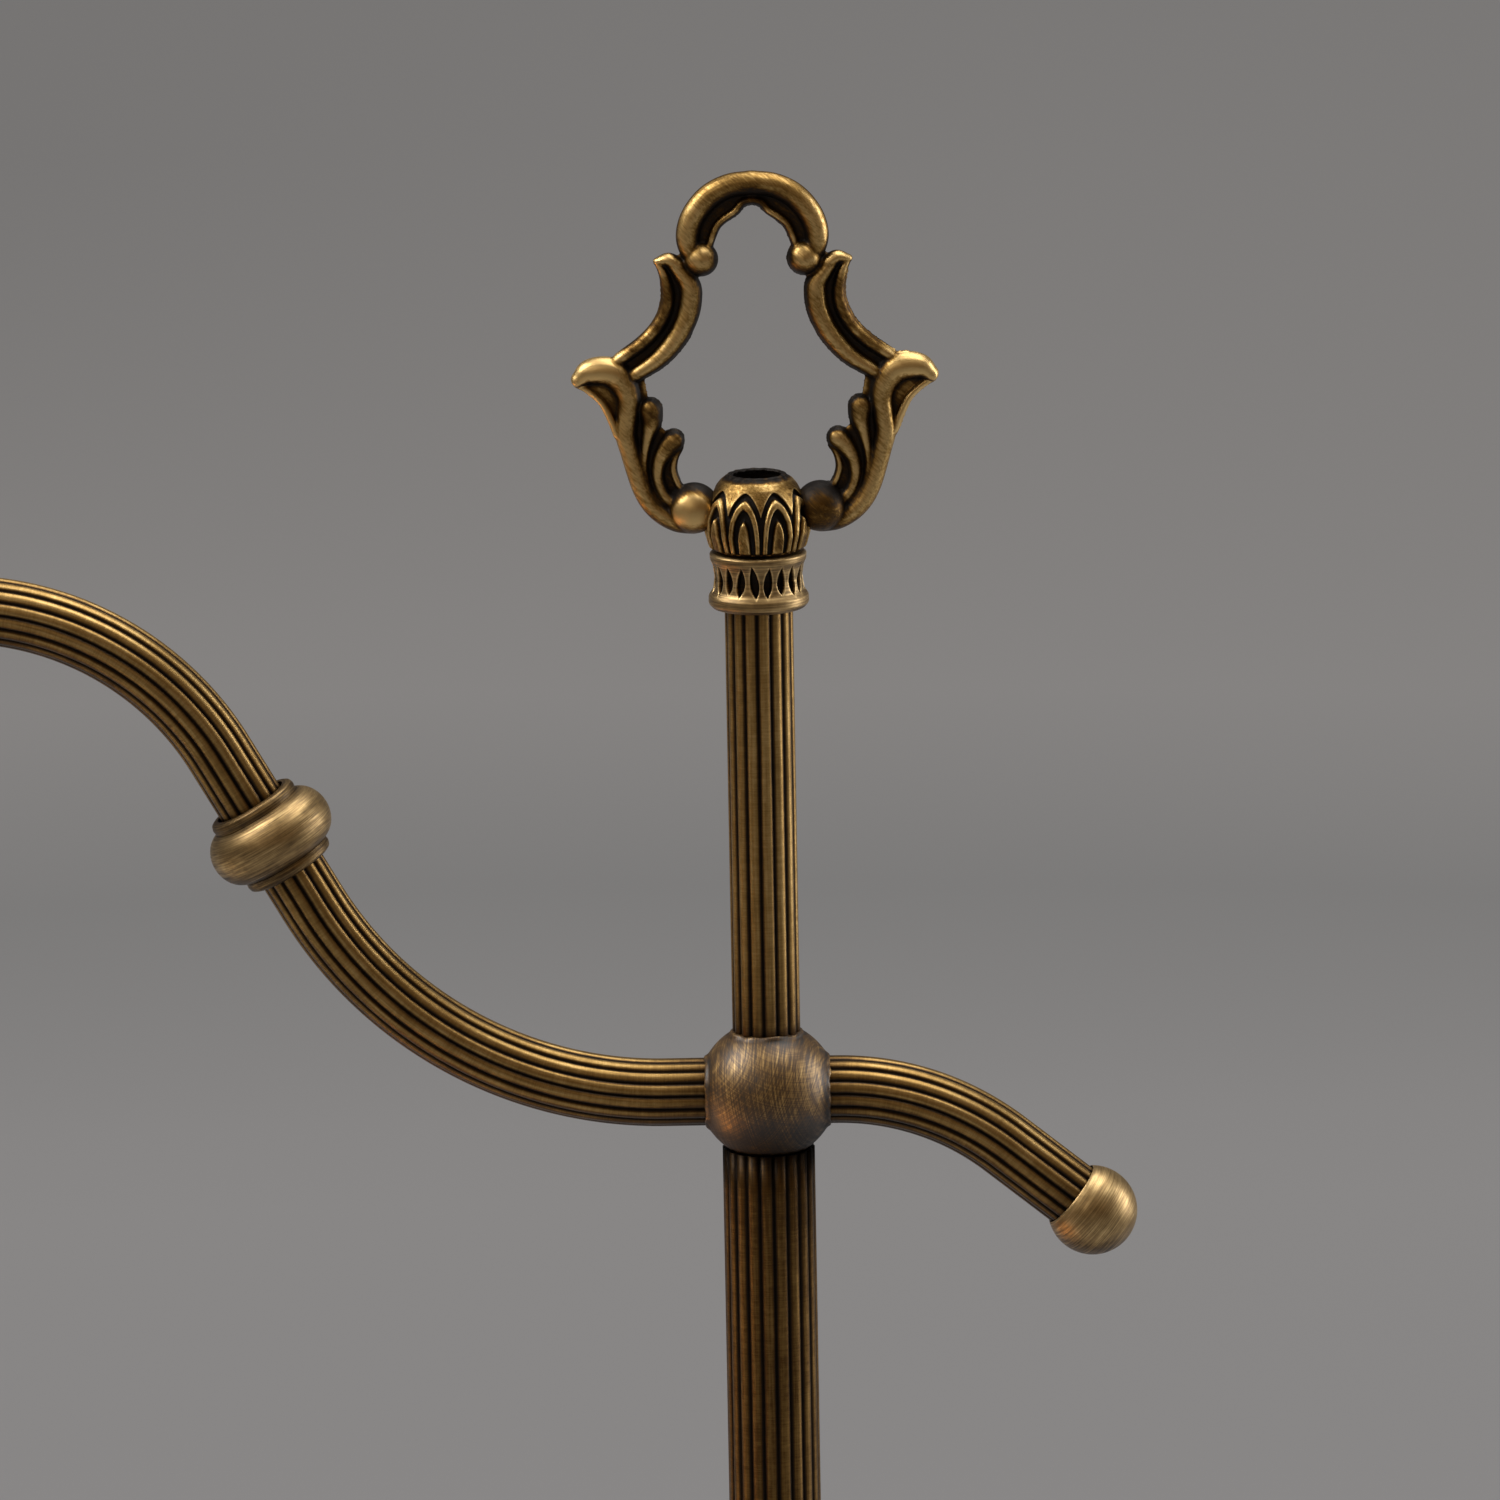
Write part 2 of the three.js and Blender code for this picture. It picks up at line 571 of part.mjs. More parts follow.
// Fork screwed into the arm's end: two rounded cheeks with a slot between them.
function knuckleFork() {
  const plug = TUBE_BORE - 3 * GAP;
  const body = lathe([
    [0, -8], [11, -8], [11.6, -6.6], [11.6, -2], [11, -GAP], [plug, -GAP], [plug, 8], [0, 8],
  ]);
  const cheekShape = new THREE.Shape();
  cheekShape.moveTo(-CHEEK_RADIUS, -6);
  cheekShape.absarc(0, PIVOT, CHEEK_RADIUS, Math.PI, 2 * Math.PI, false);
  cheekShape.lineTo(CHEEK_RADIUS, -6);
  const cheeks = new THREE.ExtrudeGeometry(cheekShape, { depth: 14, curveSegments: 10, bevelEnabled: false });
  cheeks.rotateX(Math.PI / 2).translate(0, 7, 0);
  const slot = new THREE.BoxGeometry(30, SLOT_WIDTH, 20).translate(0, 0, PIVOT - 2);
  const pinHole = alongY(rod(PIN_RADIUS + GAP, -10, 10, 16)).translate(0, 0, PIVOT);
  const wireWay = rod(3, -12, 10, 12);
  return cut(join(body, cheeks), slot, pinHole, wireWay);
}

// Tongue: a disc in the fork's slot on a round stem that the head's nipple screws into.
function knuckleTongue() {
  const disc = alongY(rod(7.5, -2.5, 2.5)).translate(0, 0, PIVOT);
  const neck = new THREE.BoxGeometry(9, 5, 6).translate(0, 0, PIVOT - 7.5);
  const stem = rod(8, PIVOT - 19, PIVOT - 8.6);
  const pinHole = alongY(rod(PIN_RADIUS + GAP, -10, 10, 16)).translate(0, 0, PIVOT);
  const nippleHole = rod(5.1, PIVOT - 22, PIVOT - 11, 16);
  const wireWay = rod(1.9, PIVOT - 12, PIVOT - 4.5, 12);
  return cut(join(disc, neck, stem), pinHole, nippleHole, wireWay);
}

function knuckleScrew() {
  return alongY(lathe([
    [0, -9.6], [3.4, -9.6], [4.6, -8.6], [4.6, -7.3], [PIN_RADIUS, -7.3], [PIN_RADIUS, 12], [0, 12],
  ], 16)).translate(0, 0, PIVOT);
}

function tiltKnob() {
  const lobes = new THREE.Shape(reededOutline(8, 10, 1.4, 2));
  const bore = rod(PIN_RADIUS + GAP, 6, 12.3, 12);
  return alongY(cut(extrudeUp(lobes, 7.3, 14.5), bore)).translate(0, 0, PIVOT);
}

// ---------------------------------------------------------------- tilting head

const SHADE_SCREW = -46;            // height of the three shade screws
const KEY_HEIGHT = -72;

// Shade gallery: a shallow cup over the glass lip, with three tapped holes.
function shadeGallery() {
  const profile = [
    [5.1, -37.8], [29.6, -37.8], [30.6, -38.8], [30.6, -50.8], [32.2, -52.4], [34, -51.2], [33.2, -49.4],
    [32.1, -48.4], [32.1, -37.4], [31.2, -36.3], [5.1, -36.3],
  ];
  const holes = [];
  for (let i = 0; i < 3; i++) {
    holes.push(alongX(rod(1.5 + GAP, 26, 36, 8)).rotateZ(rad(90 + 120 * i)).translate(0, 0, SHADE_SCREW));
  }
  return cut(ring(profile, 20), ...holes);
}

function thumbScrew(index) {
  const screw = lathe([
    [0, 26.9], [1.5, 26.9], [1.5, 33], [2.6, 33.4], [4.4, 35.4], [4.4, 38.4], [3.4, 39.4], [0, 39.4],
  ], 14);
  return alongX(screw).rotateZ(rad(90 + 120 * index)).translate(0, 0, SHADE_SCREW);
}

// Opal glass bell with a rolled lip at its neck.
function glassShade() {
  const outside = [
    [SHADE_RADIUS, -160], [78, -136], [73, -107], [67, -87], [56, -72], [42, -63], [30, -58.8],
    [26.5, -55], [26.5, -44.8], [28.5, -43.5], [28.5, -40],
  ];
  const inside = [
    [23, -40], [23, -57], [28, -62], [40, -66.4], [53.4, -75], [63.8, -89], [69.6, -108],
    [74.6, -137], [SHADE_RADIUS - 3.4, -160],
  ];
  return ring([...outside, ...inside], 24);
}

function keyHole() {
  return alongY(rod(1.6 + GAP, -20, -12, 10)).translate(0, 0, KEY_HEIGHT);
}

function socketKey() {
  const shaft = alongY(rod(1.6, -27, -14.3, 10));
  const leaf = new THREE.CylinderGeometry(4, 4, 2.2, 12).rotateZ(Math.PI / 2).scale(1, 1.25, 1);
  return join(shaft, leaf.translate(0, -29, 0)).translate(0, 0, KEY_HEIGHT);
}

function socketCap() {
  return ring([
    [5.1, -38.1], [5.1, -46], [8, -47.4], [13, -50.6], [15, -55.4], [15, -58], [16.4, -58], [16.4, -55],
    [14, -49], [9, -45.6], [7.6, -44], [7.6, -38.1],
  ]);
}

function socketShell() {
  const shell = ring([[15.3, -98], [16.4, -98], [16.4, -58.3], [15.3, -58.3]], 20);
  return cut(shell, keyHole());
}

function bulbGlass() {
  const globe = arcPoints([0, -125.5], [22.5, 22.5], -90, 55, 10);
  return lathe([...globe, [12.4, -104], [12.4, -100.3], [0, -100.3]]);
}

function buildHead() {
  const end = new THREE.Group();
  end.position.set(armEnd.x, 0, armEnd.z);
  lamp.add(end);
  add(end, 'knuckle_fork', knuckleFork(), BRASS);
  add(end, 'knuckle_screw', knuckleScrew(), STEEL);
  add(end, 'tilt_knob', tiltKnob(), BRASS);
  add(end, 'knuckle_tongue', knuckleTongue(), BRASS);
  add(end, 'head_nipple', sleeve(3.2, 4.8, -45, PIVOT - 11.3, 16), STEEL);
  add(end, 'shade_gallery', shadeGallery(), BRASS);
  for (let i = 0; i < 3; i++) {
    add(end, `thumb_screw_${i + 1}`, thumbScrew(i), BRASS);
  }
  add(end, 'glass_shade', glassShade(), OPAL);
  add(end, 'socket_cap', socketCap(), BRASS);
  add(end, 'socket_shell', socketShell(), BRASS);
  add(end, 'socket_liner', cut(sleeve(14.5, 15, -96, -59, 20), keyHole()), CARD);
  add(end, 'socket_body', rod(14, -78, -61), PHENOLIC);
  add(end, 'socket_key', socketKey(), PHENOLIC);
  add(end, 'screw_shell', sleeve(13.4, 14.1, -97, -78.3), INNER_BRASS);
  add(end, 'centre_contact', rod(4, -80, -78.3, 12), INNER_BRASS);
  add(end, 'bulb_base', lathe([[0, -100], [13, -100], [13, -84], [5, -80.3], [0, -80.3]]), STEEL);
  add(end, 'bulb_glass', bulbGlass(), BULB);
  add(end, 'head_lead', rod(1.6, -60.7, PIVOT - 4.8, 8), LEAD);
}

buildBase();
buildPost();
buildHub();
buildArms();
buildFinial();
buildHead();

export default lamp;
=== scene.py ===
# The looks of an antique-brass bridge-arm floor lamp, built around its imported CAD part.
# Shapes are in millimetres in the CAD frame (+Z up, origin under the base) and become metres when
# their mesh is made. Heights in the finial are measured from the hub, and in the head from the arm's end.

import math

import bmesh
import bpy
import numpy as np
from mathutils import Matrix, Vector


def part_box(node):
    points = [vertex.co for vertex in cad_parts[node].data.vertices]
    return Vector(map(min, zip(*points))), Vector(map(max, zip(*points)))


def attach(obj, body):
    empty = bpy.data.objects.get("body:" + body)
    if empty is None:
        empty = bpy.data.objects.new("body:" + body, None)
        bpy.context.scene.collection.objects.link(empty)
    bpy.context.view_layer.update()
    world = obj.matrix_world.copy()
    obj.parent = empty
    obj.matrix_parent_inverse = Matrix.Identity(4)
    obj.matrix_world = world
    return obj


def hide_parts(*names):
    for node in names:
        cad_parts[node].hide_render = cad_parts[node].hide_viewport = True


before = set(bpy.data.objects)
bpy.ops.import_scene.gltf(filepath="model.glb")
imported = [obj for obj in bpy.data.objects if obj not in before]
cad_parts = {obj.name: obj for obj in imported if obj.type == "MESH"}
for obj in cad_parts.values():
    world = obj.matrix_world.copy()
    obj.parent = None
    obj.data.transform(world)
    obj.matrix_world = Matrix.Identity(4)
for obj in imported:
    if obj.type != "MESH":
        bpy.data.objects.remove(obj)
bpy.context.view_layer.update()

MM = 0.001
FRONT = np.array([0.0, -1.0, 0.0])


def corner(node, end):
    """A node's lowest (0) or highest (1) corner in millimetres."""
    return np.array(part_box(node)[end]) / MM


# ---------- dimensions

POST_TOP = corner("post_upper", 1)[2]
SWIVEL_SEAM = 0.3
FOOT_LEVEL = -15.7
HUB = POST_TOP + (SWIVEL_SEAM - FOOT_LEVEL)
HUB_RADIUS = 19.5
TUBE_RADIUS = 9.5
TUBE_BORE = 7.5
TUBE_REEDS = 15
TUBE_SEAT = 13.0
POST_RADIUS = 12.9
POST_BORE = 11.0
POST_REEDS = 20
REED_DEPTH = 0.95
JOINT_GAP = 0.15
PIPE_BORE = 5.3

# Wear runs from 0, bare patina, to 1, brass: what a flat place has, and how much of it an underside loses to
# painted shade.
FLAT_WEAR = 0.52
UNDERSIDE_SHADE = 0.55
# How far a tube darkens from each of its ends, and how deep a relief goes before it keeps all its patina.
TUBE_END_DARKENING = 9.0
DEEP = 0.85

# Each path is a row of (length, 0) for a straight stretch and (radius, turn in degrees) for a bend.
ARM_STRETCHES = [(28.4, 0), (111.8, -60.2), (49.8, 0), (83.3, 150.2), (9, 0)]
TAIL_STRETCHES = [(19.1, 0), (74.5, -39), (31.2, 0)]
KNUCKLE_PIVOT = -17
SHADE_SCREW = -46
KEY_HEIGHT = -72


# ---------- numeric helpers


def smoothstep(low, high, x):
    t = np.clip((x - low) / (high - low), 0, 1)
    return t * t * (3 - 2 * t)


def lumps(x, y, z, seed=0):
    """Soft irregular waves between about -1 and 1."""
    total = 0
    for i in range(5):
        a, b, c = (math.sin(12.9 * (i + 1) + 3.1 * seed + k) * 1.7 + 0.4 for k in (0, 2, 4))
        total = total + np.sin(a * x + b * y + c * z + 1.9 * i + seed)
    return total / 3


def spline(points, step):
    """Rows of a Catmull-Rom curve through the points, about one for each step of length."""
    points = np.array(points, float)
    ends = [2 * points[0] - points[1], 2 * points[-1] - points[-2]]
    padded = np.vstack([ends[0], points, ends[1]])
    rows = []
    for a, b, c, d in zip(padded, padded[1:], padded[2:], padded[3:]):
        count = max(2, int(np.linalg.norm((c - b)[:2]) / step))
        for t in np.arange(count) / count:
            rows.append(0.5 * (2 * b + (c - a) * t + (2 * a - 5 * b + 4 * c - d) * t * t
                               + (3 * b - a - 3 * c + d) * t ** 3))
    return np.array(rows + [points[-1]])


def rounded(profile, default=0.4):
    """A turned profile with each corner rounded: points are (radius, z) or (radius, z, rounding)."""
    points = [np.array(p[:2], float) for p in profile]
    radii = [p[2] if len(p) > 2 else default for p in profile]
    rows = [points[0]]
    for before, here, after, radius in zip(points, points[1:], points[2:], radii[1:]):
        a, b = before - here, after - here
        la, lb = np.linalg.norm(a), np.linalg.norm(b)
        a, b = a / la, b / lb
        half = math.acos(float(np.clip(a @ b, -1, 1))) / 2
        if radius <= 0 or half > math.radians(88.5):
            rows.append(here)
            continue
        setback = min(radius / math.tan(half), 0.46 * la, 0.46 * lb)
        steps = 7 if radius > 1.2 else 4
        for i in range(steps + 1):
            t = i / steps
            rows.append(here + (1 - t) ** 2 * setback * a + t ** 2 * setback * b)
    rows.append(points[-1])
    return np.array(rows)


def densified(rows, longest):
    """The same profile with long spans divided, and a short span kept next to each corner."""
    out = [rows[0]]
    for a, b in zip(rows, rows[1:]):
        length = np.linalg.norm(b - a)
        count = max(1, math.ceil(length / longest))
        marks = list(np.arange(1, count) / count)
        if length > 0.8:
            edge = 0.12 / length
            marks = [edge] + [m for m in marks if edge < m < 1 - edge] + [1 - edge]
        out += [a + (b - a) * m for m in marks] + [b]
    return np.array(out)


# ---------- mesh helpers


def grid_faces(rows, columns, closed=False):
    """Quads of a grid that closes around its columns, and over its rows too where asked."""
    i = np.arange(rows if closed else rows - 1)[:, None]
    j = np.arange(columns)[None, :]
    below, above = i * columns, (i + 1) % rows * columns
    right = (j + 1) % columns
    return np.stack([below + j, below + right, above + right, above + j], -1).reshape(-1, 4)


def edges_of(mesh):
    pairs = np.empty(len(mesh.edges) * 2, np.int32)
    mesh.edges.foreach_get("vertices", pairs)
    return pairs.reshape(-1, 2)


def spread(values, pairs, count, rounds):
    """Averages a value of each vertex over its neighbours, several times."""
    weight = np.bincount(pairs.ravel(), minlength=count)[:, None].clip(1)
    for _ in range(rounds):
        total = np.empty_like(values)
        for axis in range(values.shape[1]):
            total[:, axis] = (np.bincount(pairs[:, 0], values[pairs[:, 1], axis], count)
                              + np.bincount(pairs[:, 1], values[pairs[:, 0], axis], count))
        values = 0.4 * values + 0.6 * total / weight
    return values


def rows_of(mesh, which):
    """Every vertex's place ("co", in metres) or its normal ("normal"), as rows."""
    rows = np.empty(len(mesh.vertices) * 3)
    mesh.vertices.foreach_get(which, rows)
    return rows.reshape(-1, 3)


def relief_wear(mesh, scales):
    """Wear from the shape alone: high on ridges and edges, low in grooves.

    Each scale is (rounds of smoothing, how far a groove sinks in mm to lose all its wear).
    """
    count = len(mesh.vertices)
    places, normals, pairs = rows_of(mesh, "co"), rows_of(mesh, "normal"), edges_of(mesh)
    wear = np.full(count, FLAT_WEAR)
    for rounds, depth in scales:
        sunk = ((spread(places, pairs, count, rounds) - places) * normals).sum(1)
        wear = wear - 0.5 * sunk / (depth * MM)
    return spread(np.clip(wear, 0, 1)[:, None], pairs, count, 2)[:, 0]


def worn(mesh):
    values = np.empty(len(mesh.vertices))
    mesh.attributes["wear"].data.foreach_get("value", values)
    return values


def paint_underside_shade(mesh):
    """Paints shade on whatever faces the floor by lowering its wear there."""
    facing_down = smoothstep(0.05, 0.95, -rows_of(mesh, "normal")[:, 2])
    set_wear(mesh, worn(mesh) * (1 - UNDERSIDE_SHADE * facing_down))


# The wear attribute holds wear and patina, and also the painted shade and painted highlights laid on top of
# them.
def set_wear(mesh, values):
    if "wear" in mesh.attributes:
        mesh.attributes.remove(mesh.attributes["wear"])
    wear = mesh.attributes.new("wear", "FLOAT", "POINT")
    wear.data.foreach_set("value", np.ascontiguousarray(values, np.float32).ravel())


def set_flow(mesh, rows):
    """The coordinates that the brush's grain follows: along, and round a tube or a turned piece."""
    flow = mesh.attributes.new("flow", "FLOAT_VECTOR", "POINT")
    flow.data.foreach_set("vector", np.ascontiguousarray(rows, np.float32).ravel())


def mesh_from(name, places, quads):
    mesh = bpy.data.meshes.new(name)
    mesh.vertices.add(len(places))
    mesh.vertices.foreach_set("co", np.ascontiguousarray(places * MM, np.float32).ravel())
    mesh.loops.add(quads.size)
    mesh.loops.foreach_set("vertex_index", np.ascontiguousarray(quads, np.int32).ravel())
    mesh.polygons.add(len(quads))
    mesh.polygons.foreach_set("loop_start", np.arange(0, quads.size, 4, dtype=np.int32))
    mesh.update(calc_edges=True)
    return mesh


def weld(mesh):
    """Joins the points that meet on an axis, which leaves triangles there."""
    bm = bmesh.new()
    bm.from_mesh(mesh)
    bmesh.ops.remove_doubles(bm, verts=bm.verts, dist=1e-6)
    bm.to_mesh(mesh)
    bm.free()


def add_object(name, data):
    thing = bpy.data.objects.new(name, data)
    bpy.context.scene.collection.objects.link(thing)
    return thing


def build(mesh, body, node, material):
    """Finishes a piece: smooth shading, its finish, the body it rides on and the node it replaces."""
    mesh.polygons.foreach_set("use_smooth", np.ones(len(mesh.polygons), bool))
    # A piece that has a wear attribute gets painted shade on whatever faces down.
    if "wear" in mesh.attributes:
        paint_underside_shade(mesh)
    mesh.materials.append(material)
    piece = add_object(mesh.name, mesh)
    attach(piece, body)
    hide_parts(node)


# ---------- paths


def along(start, heading, stretches):
    """A function from distance to (place, direction) on a path of (length, 0) and (radius, turn)."""
    def at(distance):
        x, z = start
        angle = math.radians(heading)
        left = distance
        for size, turn in stretches:
            length = size * math.radians(abs(turn)) if turn else size
            used = min(left, length) if (size, turn) != stretches[-1] else left
            if turn:
                radius = math.copysign(size, turn)
                following = angle + used / radius
                x += radius * (math.sin(following) - math.sin(angle))
                z -= radius * (math.cos(following) - math.cos(angle))
                angle = following
            else:
                x += used * math.cos(angle)
                z += used * math.sin(angle)
            left -= used
            if left <= 0:
                break
        return np.array([x, 0, z]), np.array([math.cos(angle), 0, math.sin(angle)])
    return at


def length_of(stretches):
    return sum(size * math.radians(abs(turn)) if turn else size for size, turn in stretches)


COLLAR_PAST_BEND = 22.4
COLLAR_AT = length_of(ARM_STRETCHES[:2]) + COLLAR_PAST_BEND
arm_at = along((0, HUB), 180, ARM_STRETCHES)
tail_at = along((0, HUB), 0, TAIL_STRETCHES)
arm_length = length_of(ARM_STRETCHES)
tail_length = length_of(TAIL_STRETCHES)
ARM_END = arm_at(arm_length)[0]


def upright(distance):
    return np.array([0, 0, distance]), np.array([0.0, 0, 1])


def placed_on(at, distance):
    """The matrix that lays a piece built along +Z on a path."""
    place, direction = at(distance)
    side = np.cross(direction, FRONT)
    rows = np.column_stack([side, -FRONT, direction, place * MM]).tolist()
    return Matrix(rows + [[0, 0, 0, 1]])


def moved(x, y, z, turn=None):
    shift = Matrix.Translation(Vector((x, y, z)) * MM)
    return shift @ turn if turn else shift


# ---------- finishes


class Nodes:
    """A material's node tree, with its Principled shader and short calls to add to it."""

    def __init__(self, name):
        self.material = bpy.data.materials.new(name)
        self.material.use_nodes = True
        self.tree = self.material.node_tree
        self.shader = self.tree.nodes["Principled BSDF"]

    def set(self, **values):
        for key, value in values.items():
            self.put(self.shader.inputs[key.replace("_", " ")], value)

    def put(self, socket, value):
        if isinstance(value, bpy.types.NodeSocket):
            self.tree.links.new(value, socket)
        elif isinstance(value, tuple) and len(value) == 3 and socket.type == "RGBA":
            socket.default_value = (*value, 1)
        else:
            socket.default_value = value

    def add(self, kind, inputs=(), out=0, **settings):
        node = self.tree.nodes.new("ShaderNode" + kind)
        for key, value in settings.items():
            setattr(node, key, value)
        for key, value in dict(inputs).items():
            self.put(node.inputs[key], value)
        return node.outputs[out]

    def attribute(self, name, out):
        return self.add("Attribute", attribute_name=name, out=out)

    def place(self):
        """Place on the part in millimetres, which moves with it."""
        texture = self.add("TexCoord", out="Object")
        return self.scaled(texture, (1000, 1000, 1000))

    def scaled(self, vector, scale, turn=None):
        """The vector turned first, where a turn is given, and then scaled along its axes."""
        if turn:
            vector = self.add("Mapping", {"Vector": vector, "Rotation": turn})
        return self.add("Mapping", {"Vector": vector, "Scale": scale})

    def noise(self, vector, scale=1.0, detail=2.0, rough=0.5):
        return self.add("TexNoise", {"Vector": vector, "Scale": scale, "Detail": detail, "Roughness": rough})

    def math(self, operation, a, b=0.5, c=0.0, clamp=False):
        return self.add("Math", {0: a, 1: b, 2: c}, operation=operation, use_clamp=clamp)

    def range(self, value, low, high, to_low=0.0, to_high=1.0):
        inputs = {"Value": value, "From Min": low, "From Max": high, "To Min": to_low, "To Max": to_high}
        return self.add("MapRange", inputs)

    def mix(self, share, first, second):
        inputs = {"Factor": share, 6: first, 7: second}
        return self.add("Mix", inputs, data_type="RGBA", out=2)

    def ramp(self, value, stops):
        node = self.tree.nodes.new("ShaderNodeValToRGB")
        elements = node.color_ramp.elements
        while len(elements) < len(stops):
            elements.new(0.5)
        for element, (position, color) in zip(elements, stops):
            element.position = position
            element.color = (*color, 1)
        self.put(node.inputs[0], value)
        return node.outputs["Color"]

    def bump(self, height, distance, strength=1.0, normal=None):
        inputs = {"Height": height, "Distance": distance * MM, "Strength": strength}
        if normal:
            inputs["Normal"] = normal
        return self.add("Bump", inputs)


# The ramp from bare oxide to polished brass, and a warmer one for the tubes, castings and ball.
BRASS_TONES = [
    (0.0, (0.006, 0.0045, 0.004)),
    (0.25, (0.021, 0.012, 0.005)),
    (0.5, (0.105, 0.060, 0.018)),
    (0.75, (0.32, 0.205, 0.075)),
    (1.0, (0.62, 0.435, 0.19)),
]
WARM_TONES = [
    (0.0, (0.0075, 0.0048, 0.003)),
    (0.25, (0.023, 0.012, 0.0033)),
    (0.5, (0.096, 0.046, 0.008)),
    (0.75, (0.305, 0.18, 0.049)),
    (1.0, (0.62, 0.42, 0.165)),
]


def antique_brass(name, grains, shaped=True, level=0.0, contrast=1.0, mottle=0.14, coat=0.05,
                  metal=(0.6, 1.0), rough=(0.52, 0.4), tones=BRASS_TONES):
    """Dark oxide brushed back to brass on the high places, with the brush's grain.

    Each grain is (scale, turn, strength): noise stretched into strokes across the surface.
    """
    nodes = Nodes(name)
    place = nodes.attribute("flow", "Vector") if shaped else nodes.place()
    wear = nodes.attribute("wear", "Fac") if shaped else 0.72
    cloud = nodes.range(nodes.noise(place, 0.11, 3.0, 0.6), 0.3, 0.7, -0.5 * mottle, 0.5 * mottle)
    patches = nodes.range(nodes.noise(place, 0.5, 3.0, 0.65), 0.3, 0.7, -0.04, 0.04)
    strokes = None
    for scale, turn, strength in grains:
        grain = nodes.noise(nodes.scaled(place, scale, turn), 1.0, 1.0, 0.5)
        stroke = nodes.range(grain, 0.3, 0.7, -strength, strength)
        strokes = nodes.math("ADD", strokes, stroke) if strokes else stroke
    amount = nodes.math("MULTIPLY_ADD", wear, contrast, level)
    amount = nodes.math("ADD", amount, cloud)
    amount = nodes.math("ADD", amount, patches)
    amount = nodes.math("ADD", amount, strokes, clamp=True)
    roughness = nodes.range(amount, 0.1, 0.9, *rough)
    roughness = nodes.math("MULTIPLY_ADD", strokes, -0.3, roughness)
    normal = nodes.bump(strokes, 0.03, 0.5)
    normal = nodes.bump(patches, 0.12, 0.5, normal)
    nodes.set(Base_Color=nodes.ramp(amount, tones), Metallic=nodes.range(amount, 0.12, 0.5, *metal))
    nodes.set(Roughness=roughness, Normal=normal, Specular_IOR_Level=0.35)
    # The coat follows the wear, so its sheen thins where patina and painted shade darken the brass.
    nodes.set(Coat_Weight=nodes.range(wear, 0.15, 0.45, 0.0, coat) if shaped else coat)
    nodes.set(Coat_Roughness=0.42, Coat_IOR=1.8)
    return nodes.material


def plain_metal(name, color, roughness, speckle=0.15):
    """A machined or cast metal: fine mottling in its colour and gloss."""
    nodes = Nodes(name)
    place = nodes.place()
    fine = nodes.noise(place, 1.6, 3.0, 0.6)
    wide = nodes.noise(place, 0.15, 2.0)
    darker = tuple(c * (1 - speckle * 2) for c in color)
    tone = nodes.mix(wide, darker, color)
    gloss = nodes.range(fine, 0.3, 0.7, roughness - 0.06, roughness + 0.1)
    nodes.set(Base_Color=tone, Metallic=1.0, Roughness=gloss, Normal=nodes.bump(fine, 0.03, 0.4))
    return nodes.material


def dull(name, color, roughness, grain=1.0, depth=0.05, spread_of_tone=0.35):
    """A moulded, pressed or rubber surface with its own fine grain."""
    nodes = Nodes(name)
    place = nodes.place()
    fine = nodes.noise(place, grain, 4.0, 0.6)
    lighter = tuple(min(1, c * (1 + spread_of_tone)) for c in color)
    tone = nodes.mix(fine, color, lighter)
    gloss = nodes.range(fine, 0.3, 0.7, roughness - 0.05, roughness + 0.05)
    nodes.set(Base_Color=tone, Roughness=gloss, Normal=nodes.bump(fine, depth, 0.6))
    return nodes.material


def opal(name, color, roughness, depth):
    """Opal glass: milky, faintly clouded, light passing a little way into it."""
    nodes = Nodes(name)
    place = nodes.place()
    cloud = nodes.noise(place, 0.03, 2.0)
    warmer = tuple(c * s for c, s in zip(color, (0.97, 0.93, 0.86)))
    tone = nodes.mix(cloud, color, warmer)
    ripple = nodes.noise(place, 0.06, 1.0)
    nodes.set(Base_Color=tone, Roughness=nodes.range(cloud, 0.3, 0.7, roughness, roughness + 0.08))
    nodes.set(Normal=nodes.bump(ripple, 0.2, 0.1), Coat_Weight=0.6, Coat_Roughness=0.12)
    nodes.set(Subsurface_Weight=0.5, Subsurface_Radius=(depth, depth, depth), Subsurface_Scale=MM)
    return nodes.material


def woven(name, color):
    """A braided lead jacket: two crossing sets of fine ribs."""
    nodes = Nodes(name)
    place = nodes.place()
    ribs = [nodes.add("TexWave", {"Vector": nodes.scaled(place, (1, 1, 1), (lean, 0, 0)), "Scale": 0.9})
            for lean in (0.8, -0.8)]
    weave = nodes.math("MULTIPLY", *ribs)
    lighter = tuple(c * 1.9 for c in color)
    tone = nodes.mix(weave, color, lighter)
    nodes.set(Base_Color=tone, Roughness=0.85, Normal=nodes.bump(weave, 0.15, 0.7))
    return nodes.material


# The brush's grains: hairlines across and along a tube, strokes around a turned piece, strokes slanted
# across a casting, and a ball scratched three ways.
HAIRLINES = [((2.6, 0.16, 0.16), None, 0.035), ((0.05, 1.4, 1.4), None, 0.06)]
TURNED = [((2.8, 0.09, 0.09), None, 0.12), ((1.5, 0.1, 0.1), (0, 0.16, 0), 0.08)]
DIAGONAL = [((1.3, 1.3, 0.08), (0.5, 0.9, 0), 0.09), ((2.4, 2.4, 0.12), (0.5, 0.7, 0), 0.08)]
SCRATCHES = [
    ((2.4, 0.12, 0.1), (0, 0.18, 0.3), 0.15),
    ((2.8, 0.12, 0.1), (0, -0.6, -0.35), 0.12),
    ((3.0, 0.14, 0.12), (0, 1.3, 0.3), 0.08),
]
BRUSHED_ALONG = antique_brass("brass_tube", HAIRLINES, level=-0.09, contrast=0.88, mottle=0.09,
                              coat=0.15, metal=(0.9, 1.0), tones=WARM_TONES)
